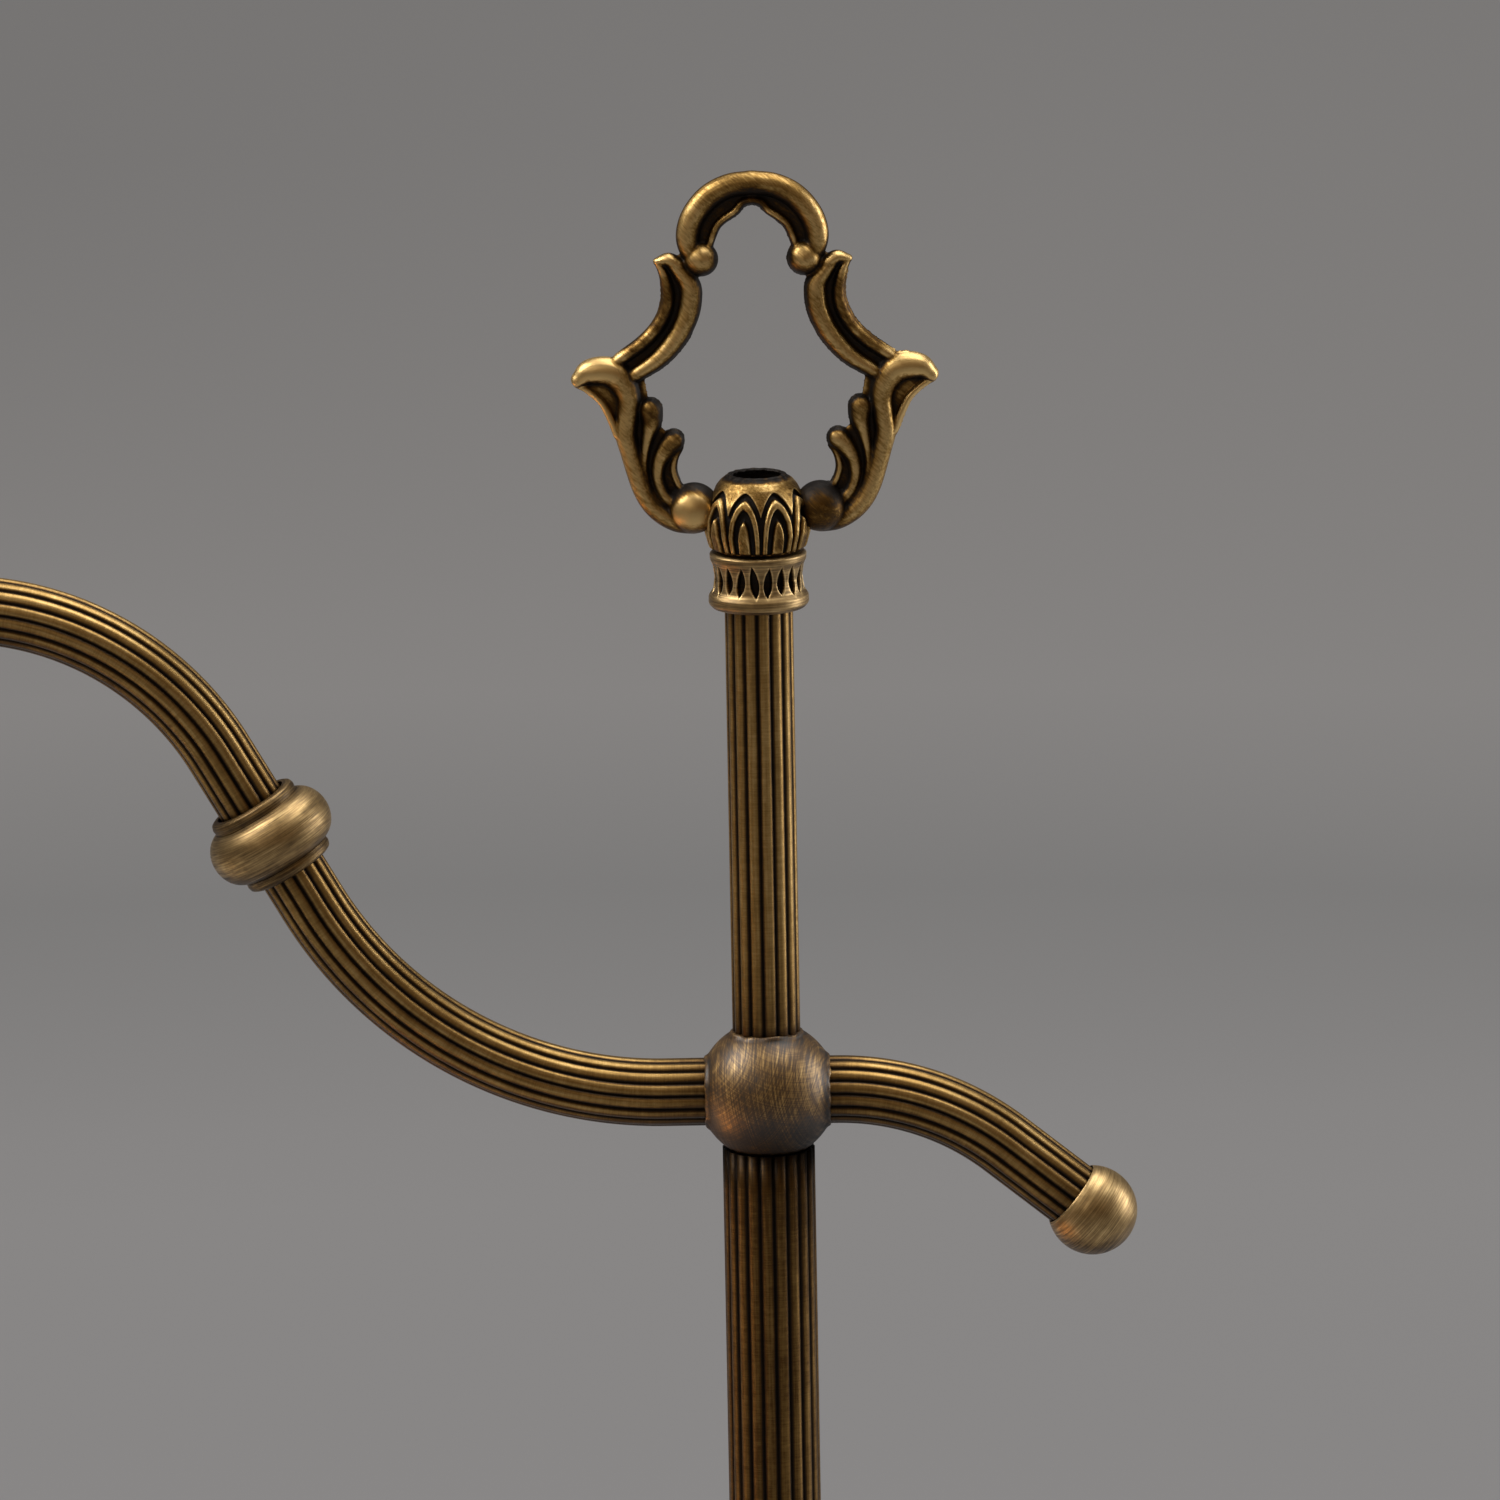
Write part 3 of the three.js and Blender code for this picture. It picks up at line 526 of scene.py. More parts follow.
POST_FINISH = antique_brass("brass_post", HAIRLINES, level=-0.09, contrast=0.66, mottle=0.08,
                            coat=0.1, metal=(0.9, 1.0), tones=WARM_TONES)
BRUSHED_AROUND = antique_brass("brass_turned", TURNED, level=0.19, coat=0.3, rough=(0.56, 0.44))
BRUSHED_BALL = antique_brass("brass_ball", SCRATCHES, level=-0.02, mottle=0.18, coat=0.48,
                             metal=(0.3, 0.65), rough=(0.64, 0.52), tones=WARM_TONES)
BRUSHED_CAST = antique_brass("brass_cast", DIAGONAL, level=-0.07, contrast=1.36, coat=0.06,
                             rough=(0.55, 0.42), tones=WARM_TONES)
BRUSHED_BULB = antique_brass("brass_bulb", DIAGONAL, level=-0.08, contrast=1.5, mottle=0.34,
                             coat=0.06, rough=(0.55, 0.42), tones=WARM_TONES)
BRUSHED_PLAIN = antique_brass("brass_plain", [((0.8, 0.8, 0.8), None, 0.1)], shaped=False)

FINISHES = {
    "turned_brass": plain_metal("turned_brass", (0.62, 0.45, 0.2), 0.3),
    "steel": plain_metal("zinc_steel", (0.5, 0.5, 0.51), 0.33),
    "cast_iron": plain_metal("cast_iron", (0.05, 0.05, 0.053), 0.68, 0.25),
    "pad_rubber": dull("pad_rubber", (0.022, 0.021, 0.02), 0.8, 2.0, 0.1),
    "black_moulding": dull("black_moulding", (0.018, 0.015, 0.012), 0.35, 0.8, 0.03),
    "fibre": dull("pressed_fibre", (0.3, 0.2, 0.11), 0.85, 2.5, 0.1),
    "opal_glass": opal("opal_glass", (0.9, 0.86, 0.77), 0.16, 4.0),
    "bulb_glass": opal("bulb_glass", (0.93, 0.9, 0.84), 0.3, 2.0),
    "lead_jacket": woven("lead_jacket", (0.05, 0.033, 0.018)),
    "antique_brass": BRUSHED_PLAIN,
}


# ---------- reeded tubes


def reeded_tube(node, at, start, end, radius, reeds, groove, bore, step, body="bridge",
                finish=BRUSHED_ALONG):
    """A tube of convex reeds along a path; groove is a groove's angle from the front, in degrees."""
    per_reed = 12
    angles = (np.arange(reeds * per_reed) + 0.5) / (reeds * per_reed) * 2 * math.pi
    pitch = 2 * math.pi / reeds
    across = np.mod(angles - math.radians(groove), pitch) / pitch * 2 - 1
    crown = (1 - np.sqrt(1 - 0.92 * across ** 2)) / (1 - math.sqrt(0.08))
    section = radius - REED_DEPTH * crown
    ridge = 1 - smoothstep(0.5, 0.98, np.abs(across))
    outer = np.linspace(start, end, max(3, math.ceil((end - start) / step) + 1))
    inner = np.linspace(end, start, max(3, len(outer) // 4))
    rows = [(outer[0], -0.5, 0.2)] + [(s, 0.0, 1.0) for s in outer] + [(outer[-1], -0.5, 0.2)]
    rows += [(s, None, 0.0) for s in inner]
    places, wear, flow = [], [], []
    for distance, inset, ridge_share in rows:
        # Each tube is made darker towards both of its ends.
        near_end = math.exp(-(distance - start) / TUBE_END_DARKENING) + math.exp(-(end - distance) / TUBE_END_DARKENING)
        place, direction = at(distance)
        side = np.cross(direction, FRONT)
        reach = np.full(len(angles), bore) if inset is None else section + inset
        spoke = np.cos(angles)[:, None] * FRONT + np.sin(angles)[:, None] * side
        places.append(place + reach[:, None] * spoke)
        wear.append((0.12 + 0.88 * ridge) * ridge_share * (1 - 0.5 * near_end))
        turn = [np.full(len(angles), distance), radius * np.cos(angles), radius * np.sin(angles)]
        flow.append(np.stack(turn, 1))
    mesh = mesh_from("viz_" + node, np.vstack(places), grid_faces(len(rows), len(angles), closed=True))
    set_wear(mesh, np.concatenate(wear))
    set_flow(mesh, np.vstack(flow))
    build(mesh, body, node, finish)


def reeded_tubes():
    for node in ("post_lower", "post_middle", "post_upper"):
        low, high = corner(node, 0)[2], corner(node, 1)[2]
        reeded_tube(node, upright, low, high, POST_RADIUS, POST_REEDS, 5.4, POST_BORE, 12,
                    "stand", POST_FINISH)
    tube_top = corner("upper_tube", 1)[2]
    reeds = (TUBE_RADIUS, TUBE_REEDS, -4.3, TUBE_BORE, 8)
    reeded_tube("upper_tube", upright, HUB + TUBE_SEAT, tube_top, *reeds)
    reeds = (TUBE_RADIUS, TUBE_REEDS, 5.0, TUBE_BORE, 1.2)
    reeded_tube("arm_tube_inner", arm_at, TUBE_SEAT, COLLAR_AT - JOINT_GAP, *reeds)
    reeded_tube("arm_tube_outer", arm_at, COLLAR_AT + JOINT_GAP, arm_length, *reeds)
    reeds = (TUBE_RADIUS, TUBE_REEDS, -5.0, TUBE_BORE, 1.2)
    reeded_tube("tail_tube", tail_at, TUBE_SEAT, tail_length, *reeds)


# ---------- turned pieces


def turned(node, profile, body, place=None, segments=128, longest=1.5, relief=None,
           material=None, scales=((14, 0.4),), closed=True):
    """A piece of revolution about Z. relief(angle, z, radius) moves its outside in or out.

    Wear is lost where the relief goes deep and where the surface faces the axis.
    """
    rows = densified(rounded(profile + profile[:1] if closed else profile), longest)
    if closed:
        rows = rows[:-1]
    angles = (np.arange(segments) + 0.5) / segments * 2 * math.pi
    radius, z = np.repeat(rows[:, :1], segments, 1), np.repeat(rows[:, 1:], segments, 1)
    turn = np.repeat(angles[None, :], len(rows), 0)
    travel = np.concatenate([[0], np.cumsum(np.linalg.norm(np.diff(rows, axis=0), axis=1))])
    travel = np.repeat(travel[:, None], segments, 1)
    offset = relief(turn, z, radius) if relief else np.zeros_like(radius)
    radius = radius + offset
    places = np.stack([radius * np.cos(turn), radius * np.sin(turn), z], -1).reshape(-1, 3)
    flow = np.stack([travel, radius * np.cos(turn), radius * np.sin(turn)], -1).reshape(-1, 3)
    mesh = mesh_from("viz_" + node, places, grid_faces(len(rows), segments, closed))
    set_flow(mesh, flow)
    set_wear(mesh, np.clip(1 + offset / DEEP, 0, 1))
    if rows[0][0] < 1e-6 or rows[-1][0] < 1e-6:
        weld(mesh)
    spokes = rows_of(mesh, "co")[:, :2]
    outward = (spokes * rows_of(mesh, "normal")[:, :2]).sum(1) / np.linalg.norm(spokes, axis=1).clip(1e-6)
    inside = smoothstep(-0.2, -0.9, outward)
    set_wear(mesh, worn(mesh) * relief_wear(mesh, scales) * (1 - 0.9 * inside))
    if place:
        mesh.transform(place)
    build(mesh, body, node, material or BRUSHED_AROUND)


def arc(center, size, start, end, steps=24):
    """Points of an arc in a profile, from one angle to another in degrees, with no rounding."""
    angles = np.radians(np.linspace(start, end, steps + 1))
    return [(center[0] + size[0] * math.cos(a), center[1] + size[1] * math.sin(a), 0) for a in angles]


def curve(points):
    """Points of a smooth curve in a profile, with no rounding of their own."""
    return [(radius, z, 0) for radius, z in spline(points, 2.5)]


def flipped(profile):
    """The same profile turned upside down."""
    return [(radius, -z, *rounding) for radius, z, *rounding in profile[::-1]]


def hub():
    """The ball with a flat foot, and a lumpy bead of solder round the foot of each tube."""
    columns, rows = 288, 170
    tube_foot, bead_width = 29.6, 2.4
    lowest = math.degrees(math.acos(FOOT_LEVEL / HUB_RADIUS))
    polar = np.radians(np.linspace(0, lowest, rows))[:, None]
    turn = ((np.arange(columns) + 0.5) / columns * 2 * math.pi)[None, :]
    normal = np.stack([np.sin(polar) * np.cos(turn), np.sin(polar) * np.sin(turn),
                       np.cos(polar) * np.ones_like(turn)], -1)
    swell = 0
    for axis, phase in (((0, 0, 1), 1), ((-1, 0, 0), 2), ((1, 0, 0), 3)):
        angle = np.degrees(np.arccos(np.clip(normal @ np.array(axis, float), -1, 1)))
        wobble = lumps(*(normal[..., i] * 9 for i in range(3)), phase)
        bead = np.exp(-(((angle - tube_foot + 0.6 * wobble) / bead_width) ** 2))
        swell = swell + bead * (0.5 + 0.25 * lumps(*(normal[..., i] * 16 for i in range(3)), phase + 4))
    reach = HUB_RADIUS + swell
    places = (normal * reach[..., None]).reshape(-1, 3)
    foot = places[-columns:] * np.array([0.97, 0.97, 1]) - np.array([0, 0, 0.25])
    collar = foot * np.array([0.6, 0.6, 1])
    well = collar * np.array([1, 1, 0.65])
    bottom = well * np.array([0, 0, 1])
    places = np.vstack([places, foot, collar, well, bottom])
    count = rows + 4
    quads = grid_faces(count, columns)[:, ::-1]
    mesh = mesh_from("viz_hub_ball", places, quads)
    set_flow(mesh, places)
    weld(mesh)
    places = rows_of(mesh, "co") / MM
    # Wear is lowered near each tube's foot, and the ball's lower half carries painted shade that deepens
    # towards its foot.
    near_tube = 0
    for axis in ((0, 0, 1), (-1, 0, 0), (1, 0, 0)):
        angle = np.degrees(np.arccos(np.clip(places @ np.array(axis, float) / HUB_RADIUS, -1, 1)))
        near_tube = near_tube + smoothstep(44, 28, angle)
    wear = relief_wear(mesh, [(16, 0.3)]) * (1 - 0.35 * near_tube)
    set_wear(mesh, wear * (1 - 0.5 * smoothstep(2, -13, places[:, 2])))
    mesh.transform(moved(0, 0, HUB))
    build(mesh, "bridge", "hub_ball", BRUSHED_BALL)


def collar_relief(turn, z, radius):
    """The lips and the belly's shoulders stand a touch lower, where the brush doesn't reach."""
    return -0.3 * smoothstep(6.2, 8.6, np.abs(z))


def arm_collar():
    bore = TUBE_RADIUS + 1.2
    belly = arc((11, 0), (7.1, 8.2), -74, 74)
    lip = [(13.1, 8.0, 0.3), (13.3, 9.4, 1.2), (12.9, 10.6, 0.9), (11.9, 11.1, 0.5), (bore, 11.1, 0.2)]
    turned("arm_collar", flipped(lip) + belly + lip, "bridge", placed_on(arm_at, COLLAR_AT),
           segments=220, longest=0.5, relief=collar_relief)


def tail_ball():
    seat = TUBE_RADIUS + 0.25
    ball = arc((0, 0), (12.5, 12.5), -37.2, 90, 60)
    profile = [(0, 0.3), (seat, 0.3), (seat, -7.6, 0.15), *ball]
    turned("tail_ball", profile, "bridge", placed_on(tail_at, tail_length),
           segments=200, longest=0.6, closed=False)


# ---------- finial


def above_hub(profile):
    """A profile given from the hub, moved to its height above the floor."""
    return [(radius, z + HUB, *rounding) for radius, z, *rounding in profile]


def cup_relief(turn, z, radius):
    """Twenty almond slots round the waist, none quite like its neighbour."""
    slots, waist, middle = 20, 12.4, HUB + 147
    count = (turn + math.radians(5.5)) * slots / (2 * math.pi) + 0.5
    position = np.mod(count, 1) - 0.5
    index = np.floor(count)
    lean = 0.12 * np.sin(index * 2.4)
    tall = 4.1 + 0.35 * np.sin(index * 1.7 + 1)
    across = position * 2 * math.pi * waist / slots - lean * (z - middle)
    up = (z - middle - 0.2 * np.sin(index * 3.1)) / tall
    width = 1.2 * (1 - np.clip(np.abs(up), 0, 1) ** 2.2) * (1 - 0.25 * up)
    inside = smoothstep(0.12, -0.28, np.abs(across) - width)
    on_skin = (radius > 11.5) & (np.abs(up) < 1.05)
    return np.where(on_skin, -1.9 * inside, 0)


def finial_collar():
    bore = TUBE_RADIUS + 0.3
    profile = [(bore, 138.2), (12.8, 138.2, 0.6), (13.9, 139.4, 1.4), (13.8, 141.5, 1.0), (12.6, 143.3, 1.8),
               (12.1, 146.8, 3), (12.6, 150.2, 1.5), (13.3, 151.8, 0.8), (13.4, 153.3, 0.6), (12.7, 153.8),
               (3.4, 153.8), (3.4, 150.9), (bore, 150.9)]
    turned("finial_collar", above_hub(profile), "bridge", segments=720, longest=0.3,
           relief=cup_relief, scales=((20, 0.35),))


def petal_relief(turn, z, radius):
    """Nine petals as nested pointed arches: a rib, a groove, a raised band, and a shared outer groove.

    The rim above them is lumpy, as the open top of the casting is.
    """
    petals, girth, foot = 9, 14.2, HUB + 154.4
    seam = math.radians(270 + 4)
    position = np.mod((turn - seam) * petals / (2 * math.pi), 1) - 0.5
    across = np.abs(position) * 2 * math.pi * girth / petals
    rise = z - foot
    nest = (across / 5.3) ** 1.6 + (np.clip(rise, 0, None) / 16.9) ** 3.4

    def band(low, high, edge):
        return smoothstep(low - edge, low + edge, nest) * (1 - smoothstep(high - edge, high + edge, nest))

    height = 0.45 * band(-1, 0.15, 0.05) + 0.4 * band(0.46, 0.74, 0.06)
    height = height - 0.95 * band(0.17, 0.43, 0.04) - 0.95 * band(0.79, 1.12, 0.04)
    on_skin = (radius > 11) & (rise > 0.2)
    rim = smoothstep(19.4, 20.6, rise) * (0.3 * lumps(turn * 4, z, turn * 9, 5) - 0.75)
    return np.where(on_skin, height * smoothstep(0.2, 1.0, rise), 0) + np.where(rise > 19, rim, 0)


def finial_bulb():
    profile = [(3.4, 154.1), (11.6, 154.1, 0.5), (13.1, 155.3, 1.6), (14.3, 159.6, 4), (14.3, 164, 5),
               (13.3, 168.2, 4), (11.2, 172.4, 3), (8.9, 175.2, 0.8), (8.2, 175.6, 0.3), (7.6, 175, 0.3),
               (7.6, 173.2, 1), (10.2, 168.5, 3), (11.2, 162, 3), (10.8, 157.8, 0.5), (3.4, 157.6)]
    turned("finial_bulb", above_hub(profile), "bridge", segments=640, longest=0.26,
           relief=petal_relief, material=BRUSHED_BULB)


# Left half of the loop as (x, height above the hub, radius) along each ridge of the casting.
LOOP_RIDGES = [
    [(-14.6, 235.9, 3.2), (-17, 238.3, 3.1), (-17.7, 242.5, 3.3), (-16, 247.8, 3.4), (-11.8, 252.9, 3.4),
     (-6.1, 255.9, 3.3), (0.5, 256.7, 3.3)],
    [(-11.8, 239.4, 1.1), (-10.9, 242.2, 1.2), (-9.5, 245.1, 1.25), (-7, 247.3, 1.3), (-4.5, 249, 1.25),
     (-2.6, 251.2, 1.3), (0.5, 252, 1.25)],
    [(-26.2, 235, 0.9), (-24.7, 232.4, 1.4), (-23.7, 228.7, 1.7), (-23.4, 225.2, 1.9), (-24.4, 221, 2),
     (-26.9, 216.6, 2), (-30.9, 212.5, 2), (-37.1, 208.1, 1.9)],
    [(-22.8, 235.1, 1.5), (-20, 232.4, 2.4), (-17.4, 228.6, 3), (-17.1, 224.7, 3.1), (-18.2, 219.7, 3.1),
     (-21.2, 213.9, 3), (-26, 208.4, 2.7), (-32.7, 203.8, 2.2)],
    [(-20.6, 234.1, 2.2), (-23.2, 235.6, 2), (-26.4, 235.2, 1)],
    [(-48.3, 202.7, 2.3), (-45.8, 204.6, 3.4), (-42.2, 205.1, 3.9), (-38.6, 204.2, 4), (-35.8, 200.8, 3.6),
     (-34.6, 196.4, 3.2), (-35.2, 191.2, 3), (-35.7, 187, 3), (-34.6, 182, 2.8), (-33.2, 177, 2.8),
     (-31.6, 172, 2.8), (-29.4, 167.8, 2.8), (-26.2, 164.6, 2.9), (-22, 162.4, 3), (-17.6, 161.9, 3.1)],
    [(-49, 201.2, 0.9), (-45.6, 199.5, 1), (-42.2, 196.2, 1.1), (-39.8, 191.6, 1.2), (-38, 186.8, 1.2)],
    [(-28.8, 193.9, 3.3), (-28.6, 190.6, 2.8), (-29.6, 186.6, 1.9), (-30.6, 182, 1.4), (-30.9, 176.8, 1.3),
     (-29.4, 171.4, 1.3), (-26, 166.8, 1.4)],
    [(-22.7, 185.1, 3.2), (-24.6, 182.8, 2.8), (-26.6, 179.2, 2.1), (-27.1, 174.8, 1.8), (-25.6, 170.2, 1.8),
     (-22.2, 166.8, 2.2)],
    [(-20.7, 183.2, 0.8), (-22.3, 180.4, 0.9), (-22.9, 177, 1), (-21.9, 173.6, 1), (-20.4, 171.2, 1)],
]
# The thin web between the ridges: up the outside of the left half to the top, then down its inside.
LOOP_OUTLINE = [
    (-14, 160.6), (-22, 160.6), (-28.4, 163.4), (-33, 169.6), (-36.2, 179.6), (-38.2, 187.5),
    (-41.6, 194.6), (-48.4, 200.4), (-45.6, 204.2), (-41.6, 206.7), (-37.7, 207.2), (-31.4, 212.1),
    (-26.7, 218.6), (-24.2, 226.9), (-25.3, 233.7), (-19.8, 237.2), (-17.4, 246.1), (-12.4, 252.7),
    (-6.3, 256.2), (0, 257.2),
    (0, 252.3), (-5.7, 249.4), (-10.5, 244.9), (-11.8, 239.6), (-15.2, 230.5), (-15.6, 222.9), (-19, 215.1),
    (-24, 208.8), (-30.7, 203.8), (-29.6, 197.6), (-27.2, 190), (-23, 186.2), (-23.4, 178.2), (-21.9, 171.1),
    (-13.9, 168.7),
]
OUTLINE_TOP = 20
WEB = 0.6
# The height that the rim of the loop faces away from.
LOOP_MIDDLE = 208
# Where the loop kept more of its patina than elsewhere, or less where the share is below 0, as
# (x, height above the hub, reach, share); the entry below 0, on the left big bead, is a painted highlight.
# The pairs are on both sides.
PATINA_AND_HIGHLIGHT_SPOTS = [(-28.8, 194, 6, 0.35), (-22.7, 185.2, 5.5, 0.3), (28.8, 194, 5, 0.2), (17.4, 166.1, 9, 0.4),
                (-17.4, 166.1, 9, -0.6)]
PATINA_PAIRS = [(9.5, 245, 5, 0.25), (0, 252, 6, 0.3), (8, 256, 12, 0.15), (24.5, 227, 6, 0.4),
                (25.5, 219, 6, 0.4), (31.5, 212, 6, 0.4)]
BIG_BEAD = (-17.4, 166.1, 7.1)
SMALL_BEAD = (-14.2, 235.6, 4.8)


def strand(points, sides=20):
    """A closed round-ended bar along the points, deeper than it is wide where it is thin."""
    rows = spline(points, 0.7)
    direction = np.gradient(rows[:, :2], axis=0)
    direction /= np.linalg.norm(direction, axis=1)[:, None]
    ends = []
    for index, sign in ((0, -1), (-1, 1)):
        cap = []
        for angle in np.radians([20, 40, 60, 75, 88]):
            x, z = rows[index, :2] + sign * direction[index] * rows[index, 2] * math.sin(angle)
            cap.append((x, z, rows[index, 2] * math.cos(angle)))
        ends.append(cap)
    rows = np.vstack([ends[0][::-1], rows, ends[1]])
    direction = np.vstack([[direction[0]] * 5, direction, [direction[-1]] * 5])
    angles = np.arange(sides) / sides * 2 * math.pi
    places = []
    for (x, z, radius), (dx, dz) in zip(rows, direction):
        deep = radius * (0.72 + 1.2 / max(radius, 1.2))
        wide = radius * np.cos(angles)
        places.append(np.stack([x - dz * wide, deep * np.sin(angles), z + dx * wide], 1))
    quads = grid_faces(len(rows), sides)
    caps = [list(range(sides)), list(range((len(rows) - 1) * sides, len(rows) * sides))]
    return np.vstack(places), [list(q) for q in quads] + caps


def mirrored(points):
    return [(-x, z) for x, z in points[::-1]]


def brushed_and_lit_faces(mesh):
    """How far the brush reached each place: the faces, the outer rim and the tips, not the opening. Where a
    tip faces up it is also lit brighter, a painted highlight.
    """
    places, normals = rows_of(mesh, "co") / MM, rows_of(mesh, "normal")
    outward = places - np.array([0, 0, HUB + LOOP_MIDDLE])
    outward[:, 1] = 0
    outward /= np.linalg.norm(outward, axis=1)[:, None]
    reach = np.abs(normals[:, 1]) + 0.7 * (normals * outward).sum(1).clip(0)
    # Painted highlight: the tips' faces that turn up are made brighter.
    reach += 0.9 * smoothstep(34, 41, np.abs(places[:, 0])) * normals[:, 2].clip(0)
    return 0.12 + 0.88 * smoothstep(0.42, 1.0, reach)


def loop_wear(mesh):
    """Brass on the ridges and most of all on the two outer tips, which also carry a painted highlight; less
    of it where patina was left.
    """
    x, _, z = (rows_of(mesh, "co") / MM).T
    wear = relief_wear(mesh, [(14, 0.5), (90, 1.3)]) * brushed_and_lit_faces(mesh)
    # Painted highlight: the two outer tips are made brighter still.
    wear = wear * (1 + 0.8 * smoothstep(36, 44, np.abs(x)))
    other_side = [(-spot_x, *rest) for spot_x, *rest in PATINA_PAIRS]
    for spot_x, spot_z, reach, share in PATINA_AND_HIGHLIGHT_SPOTS + PATINA_PAIRS + other_side:
        away = np.hypot(x - spot_x, z - HUB - spot_z)
        wear = wear * (1 - share * smoothstep(reach, 0.4 * reach, away))
    return wear


def finial_loop():
    """One casting: round ridges on a thin web, joined into a single skin and softened."""
    bm = bmesh.new()
    for side in (1, -1):
        for ridge in LOOP_RIDGES:
            places, faces = strand(ridge)
            verts = [bm.verts.new((side * x, y, z)) for x, y, z in places]
            for face in faces:
                bm.faces.new([verts[i] for i in face])
        for x, z, radius in (BIG_BEAD, SMALL_BEAD):
            place = Matrix.Translation((side * x, 0, z))
            bmesh.ops.create_icosphere(bm, subdivisions=4, radius=radius, matrix=place)
    outside, inside = LOOP_OUTLINE[:OUTLINE_TOP], LOOP_OUTLINE[OUTLINE_TOP:]
    outline = outside + mirrored(outside[:-1]) + mirrored(inside[1:]) + inside
    web = [bm.verts.new((x, -WEB, z)) for x, z in outline]
    sheet = bmesh.ops.triangulate(bm, faces=[bm.faces.new(web)])["faces"]
    raised = bmesh.ops.extrude_face_region(bm, geom=sheet)["geom"]
    for vert in raised:
        if isinstance(vert, bmesh.types.BMVert):
            vert.co.y = WEB
    bmesh.ops.recalc_face_normals(bm, faces=bm.faces)
    rough = bpy.data.meshes.new("loop_rough")
    bm.to_mesh(rough)
    bm.free()
    carrier = add_object("loop_rough", rough)
    remesh = carrier.modifiers.new("skin", "REMESH")
    remesh.mode = "VOXEL"
    remesh.voxel_size = 0.34
    soften = carrier.modifiers.new("soften", "SMOOTH")
    soften.factor = 0.5
    soften.iterations = 3
    skin = carrier.evaluated_get(bpy.context.evaluated_depsgraph_get())
    mesh = bpy.data.meshes.new_from_object(skin)
    bpy.data.objects.remove(carrier)
    mesh.name = "viz_finial_loop"
    mesh.transform(Matrix.Scale(MM, 4) @ Matrix.Translation((0, 0, HUB)))
    mesh.materials.clear()
    set_flow(mesh, rows_of(mesh, "co") / MM)
    set_wear(mesh, loop_wear(mesh))
    build(mesh, "bridge", "finial_loop", BRUSHED_CAST)


# ---------- base and post fittings


def base():
    cover = [(PIPE_BORE, 38.5), (42, 38.5, 1), (55, 34, 3), (61, 29.5, 3), (90, 25.4, 20), (117, 19, 3),
             (124.4, 13.9, 2), (131.5, 13, 2), (133.5, 10.6, 0.3), (133.5, 3.2, 0.2), (135, 3.6, 0.3),
             (135, 11, 0.9), (132.5, 14.4, 1.2), (125, 15.4, 2), (118, 20.5, 3), (90, 27, 20),
             (62, 31, 3), (56, 35.4, 3), (42, 40, 2), (PIPE_BORE, 40)]
    turned("base_cover", cover, "stand", segments=256, longest=2.0, scales=((14, 0.9),))
    neck = [(PIPE_BORE, 40.3), (35.6, 40.3, 0.6), (36.6, 42.2, 1.2), (35.4, 44.4, 1.5), (28, 48.6, 4),
            (21.5, 55, 5), (18.5, 62.6, 3), (21.2, 65.6, 1), (22.7, 67.4, 0.9), (22.7, 70.6, 0.9),
            (20.4, 72.2, 1), (15.9, 76.6, 3), (16.2, 79.2, 1), (17.4, 80.6, 0.5), (17.4, 85, 0.6),
            (13, 85, 0.3), (13, 79, 0.2), (PIPE_BORE, 79)]
    turned("base_neck", neck, "stand", segments=160, longest=0.8)


def couplings():
    lower = [(PIPE_BORE, -18), (10.6, -18), (10.6, -6.7, 0.2), (14, -6.7, 0.4), (14, -4.6, 0.5),
             (13.6, -4, 0.3), (15.2, -2.4, 1)]
    profile = [*lower, (15.4, 0, 2), *flipped(lower)]
    for node in ("post_coupling_lower", "post_coupling_upper"):
        middle = (corner(node, 0)[2] + corner(node, 1)[2]) / 2
        turned(node, profile, "stand", moved(0, 0, middle), segments=160, longest=0.6)


# ---------- lamp head


HEAD_PLACE = moved(*ARM_END)
ALONG_Y = Matrix.Rotation(math.radians(-90), 4, "X")


def sideways(height):
    """Places a piece built along +Z so that it points to the back, at a height in the head."""
    return moved(ARM_END[0], 0, ARM_END[2] + height, ALONG_Y)


def grips(turn, z, radius):
    """Ten rounded hollows between the lobes of the tilt knob's rim."""
    wave = 1.2 * (0.5 - 0.5 * np.cos(turn * 10)) ** 1.5
    return np.where((z > 7.4) & (z < 14.3) & (radius > 6), -wave, 0)


def knuckle():
    knob = [(0, 12.3), (2.8, 12.3), (2.8, 7.3), (6.6, 7.3, 0.5), (7.9, 8.3, 0.8), (7.9, 13.2, 0.8),
            (6.6, 14.4, 0.6), (4, 14.5, 0.5), (2.2, 14.1, 0.5), (0, 14.1)]
    turned("tilt_knob", knob, "tilt_knob", sideways(KNUCKLE_PIVOT), segments=240,
           longest=0.4, relief=grips, closed=False)
    screw = [(0, -9.6), (3.2, -9.6, 0.4), (4.6, -8.7, 0.5), (4.6, -7.3, 0.2), (2.5, -7.3, 0.1),
             (2.5, 12, 0.3), (0, 12)]
    turned("knuckle_screw", screw, "bridge", sideways(KNUCKLE_PIVOT),
           segments=96, longest=0.5, material=FINISHES["steel"], closed=False)


def head_piece(node, profile, segments, longest, closed=True, slot="antique_brass"):
    """A turned piece of the head, in its heights below the arm's end."""
    material = None if slot == "antique_brass" else FINISHES[slot]
    turned(node, profile, "head", HEAD_PLACE, segments=segments, longest=longest, closed=closed,
           material=material)


